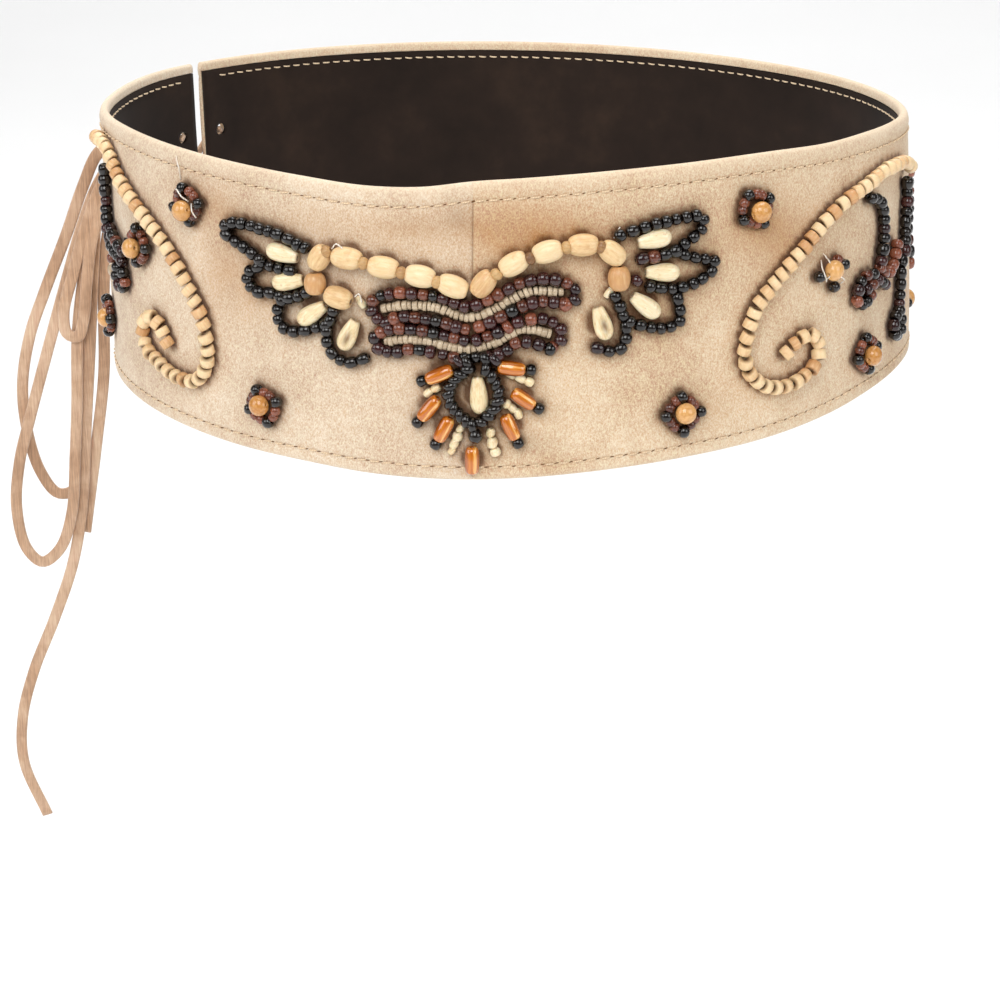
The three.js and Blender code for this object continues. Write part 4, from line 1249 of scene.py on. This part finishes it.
def holeShadeShell(line):
    # shallow dark ovals of painted shade where the thread goes into its hole, a little longer on the lower rim
    along, up, slope = stitchPlaces(line, 6, 0)
    tilt = slope + 14 + jitter(len(along), 10)
    length = holeShadeSizes[line] * (1 + jitter(len(along), 0.25))
    along = along + jitter(len(along), 0.25)
    sizes = [holeShadeSizes[key] for key in ("width", "thick", "lift")]
    return beadShell("seed", along, up - belt["height"] / 2, tilt, length, *sizes, turns=8)


makePiece("needle_hole_shades", [holeShadeShell(line) for line in ("top", "bottom")], [holeShadeFinish()], ())
print("rims stitched")


def strapAlong(stops, wide, thin):
    # a flat strap over the face through (along, up, out) stops
    stops = routePoints(stops, 26)
    path = onFace(stops[:, 0], stops[:, 1], stops[:, 2]) / millimetre
    ahead = unit(np.gradient(path, axis=0))
    outward = onFace(stops[:, 0], stops[:, 1], stops[:, 2] + 1) / millimetre - path
    side = unit(np.cross(ahead, outward))
    return sweptStrap(path, side, np.cross(side, ahead), wide, thin)


def wrapStrap(radii, centre, turnAxes, wide, thin):
    # one round of strap about an oval knot, closed on itself
    turn = np.linspace(0, 2 * np.pi, 40)
    ringPath = np.stack([np.cos(turn) * radii[0], np.sin(turn) * radii[1], 0 * turn], -1) @ turnAxes.T + centre
    ahead = unit(np.gradient(ringPath, axis=0))
    side = np.broadcast_to(turnAxes[:, 2], ringPath.shape)
    return sweptStrap(ringPath, side, np.cross(side, ahead), wide, thin)


# Ends of white thread, through (along, up, out).
looseThreads = [
    [(-114, 98.8, 0.3), (-112.6, 97, 1.4), (-112.4, 93.8, 0.9), (-112.8, 90.6, 0.2)],
    [(-112, 87.5, 3), (-109.5, 88.6, 5), (-107, 86.6, 5.2), (-105.6, 84.8, 3.4)],
    [(-104.4, 84.2, 3.2), (-102.8, 82, 4.6), (-102.6, 79.4, 3)],
    [(126.4, 64.4, 0.6), (124.4, 62.6, 3), (124.6, 59.2, 4.6), (127, 57, 2.4)],
    [(125, 58.8, 0.6), (128, 59.8, 6.6), (131.6, 57.6, 6.4), (132.4, 53.8, 0.8)],
    [(127.4, 66.6, 0.6), (126.8, 63.6, 4.8), (126, 60.4, 5.6), (125.6, 56.4, 0.6)],
    [(-46.6, 76.8, 5), (-44.6, 78.8, 6), (-42.6, 77.2, 5.2)],
    [(-39.4, 60.6, 3.6), (-37.6, 62, 4.4), (-37, 59, 3.4)],
    [(48.6, 84.6, 0.4), (47, 83.2, 1.6), (46.6, 81, 0.3)],
    [(-161, 48.6, 3), (-163.4, 47.2, 4), (-162.6, 44.6, 2)],
    [(45.2, 68.4, 0.4), (46.4, 66.2, 2), (44.6, 64.4, 1)],
]
threadShells = [strapAlong(stops, 0.42, 0.42) for stops in looseThreads]
for shell in threadShells:
    shell["values"] = {"own": shell["points"] / millimetre}
makePiece("loose_threads", threadShells, [whiteThread], ())
print("loose threads laid")

lacing = {
    "width": 2.8, "thickness": 1.6, "knotRise": 10.5, "knotOut": 6.2, "knotWidth": 4.6, "knotThickness": 1.8,
    "radii": (5.084, 3.68), "wraps": [(20, 70, 1.0), (150, 60, 0.92), (85, 75, 0.84), (5, 20, 0.8)],
     # turn, tip, share
}
holeUps = [rise + belt["height"] / 2 for rise in closure["rises"]]
pairs = [(0, 0, 1, 0)] + [(side, row, 1 - side, row + 1) for row in range(3) for side in (0, 1)]
strapShells = []
for count, (fromSide, fromRow, toSide, toRow) in enumerate(pairs):
    a, b = np.array([holeAlongs[fromSide], holeUps[fromRow]]), np.array([holeAlongs[toSide], holeUps[toRow]])
    over = 1.2 + (count % 2) * 1.5
    steps = [(0, -3), (0.03, -0.6), (0.1, 0.9), (0.5, over), (0.9, 0.9), (0.97, -0.6), (1, -3)]
    stops = [(*(a * (1 - share) + b * share), out) for share, out in steps]
    strapShells.append(strapAlong(stops, lacing["width"], lacing["thickness"]))
knotSpot, knotAxes = beltAxes(closure["along"], lacing["knotRise"], lacing["knotOut"], 0)
for tilt, lean, share in lacing["wraps"]:
    turn, tip = np.radians([tilt, lean])
    spin = np.array([[np.cos(turn), -np.sin(turn), 0], [np.sin(turn), np.cos(turn), 0], [0, 0, 1]])
    rock = np.array([[1, 0, 0], [0, np.cos(tip), -np.sin(tip)], [0, np.sin(tip), np.cos(tip)]])
    sizes = (lacing["knotWidth"], lacing["knotThickness"])
    radii = np.array(lacing["radii"]) * share
    strapShells.append(wrapStrap(radii, knotSpot / millimetre, knotAxes @ spin @ rock, *sizes))
core = beadShell("ball", closure["along"], lacing["knotRise"], 0, 11, 9, 7, lift=1.4, rings=24, turns=24)
core["values"] = {"worn": np.zeros(len(core["points"]))}
makePiece("lacing_straps", [*strapShells, core], [suedeLace], ["lacing"])
print("lacing tied")


def makeFloor():
    # one pale sheet that rises in a smooth curve behind
    across = np.linspace(-4, 4, 9)
    turn = np.linspace(0, np.pi / 2, 12)
    profile = np.concatenate(
        [[(-5, 0)], np.stack([2 + 1.5 * np.sin(turn), 1.5 - 1.5 * np.cos(turn)], -1), [(3.5, 5)]]
    )
    points = np.stack(np.broadcast_arrays(across[:, None], profile[:, 0], profile[:, 1] - 0.3), -1)
    quads = gridQuads(9, len(profile), False, False)
    mesh = bpy.data.meshes.new("studio_floor")
    mesh.from_pydata(points.reshape(-1, 3).tolist(), [], quads.tolist())
    mesh.polygons.foreach_set("use_smooth", [True] * len(quads))
    paper = Finish("paper")
    tone = paper.noise(paper.place(), 3, 2, 0.5)
    mesh.materials.append(
        paper.set(colour=paper.mix(tone, tint(240, 240, 240), tint(246, 246, 246)), rough=0.95)
    )
    floor = addObject("studio_floor", mesh)


def makeLights():
    # a dim white world, and square softboxes that face the belt
    world = bpy.data.worlds.new("studio")
    world.use_nodes = True
    world.node_tree.nodes["Background"].inputs["Color"].default_value = (1, 1, 1, 1)
    world.node_tree.nodes["Background"].inputs["Strength"].default_value = 0.16
    bpy.context.scene.world = world
    bpy.context.scene.view_settings.view_transform = "Standard"
    softboxes = [  # name, place, size, watts
        ("key", (-0.18, -1.5, 1.3), 1.1, 22), ("right", (1.4, -0.9, 0.7), 1.0, 9),
        ("left", (-1.4, -0.8, 0.7), 1.0, 10),
        ("top", (0.1, 0.1, 1.7), 1.0, 5), ("wall", (0, 1.6, 3.2), 3.0, 110),
    ]
    for name, place, size, watts in softboxes:
        data = bpy.data.lights.new(name, "AREA")
        data.size, data.energy = size, watts
        back = unit(np.array(place) - (0, 0, 0.05))
        aim(addObject(name, data), place, unit(np.cross((0, 0, 1), back)), back)


makeFloor()
makeLights()
print("studio lit")
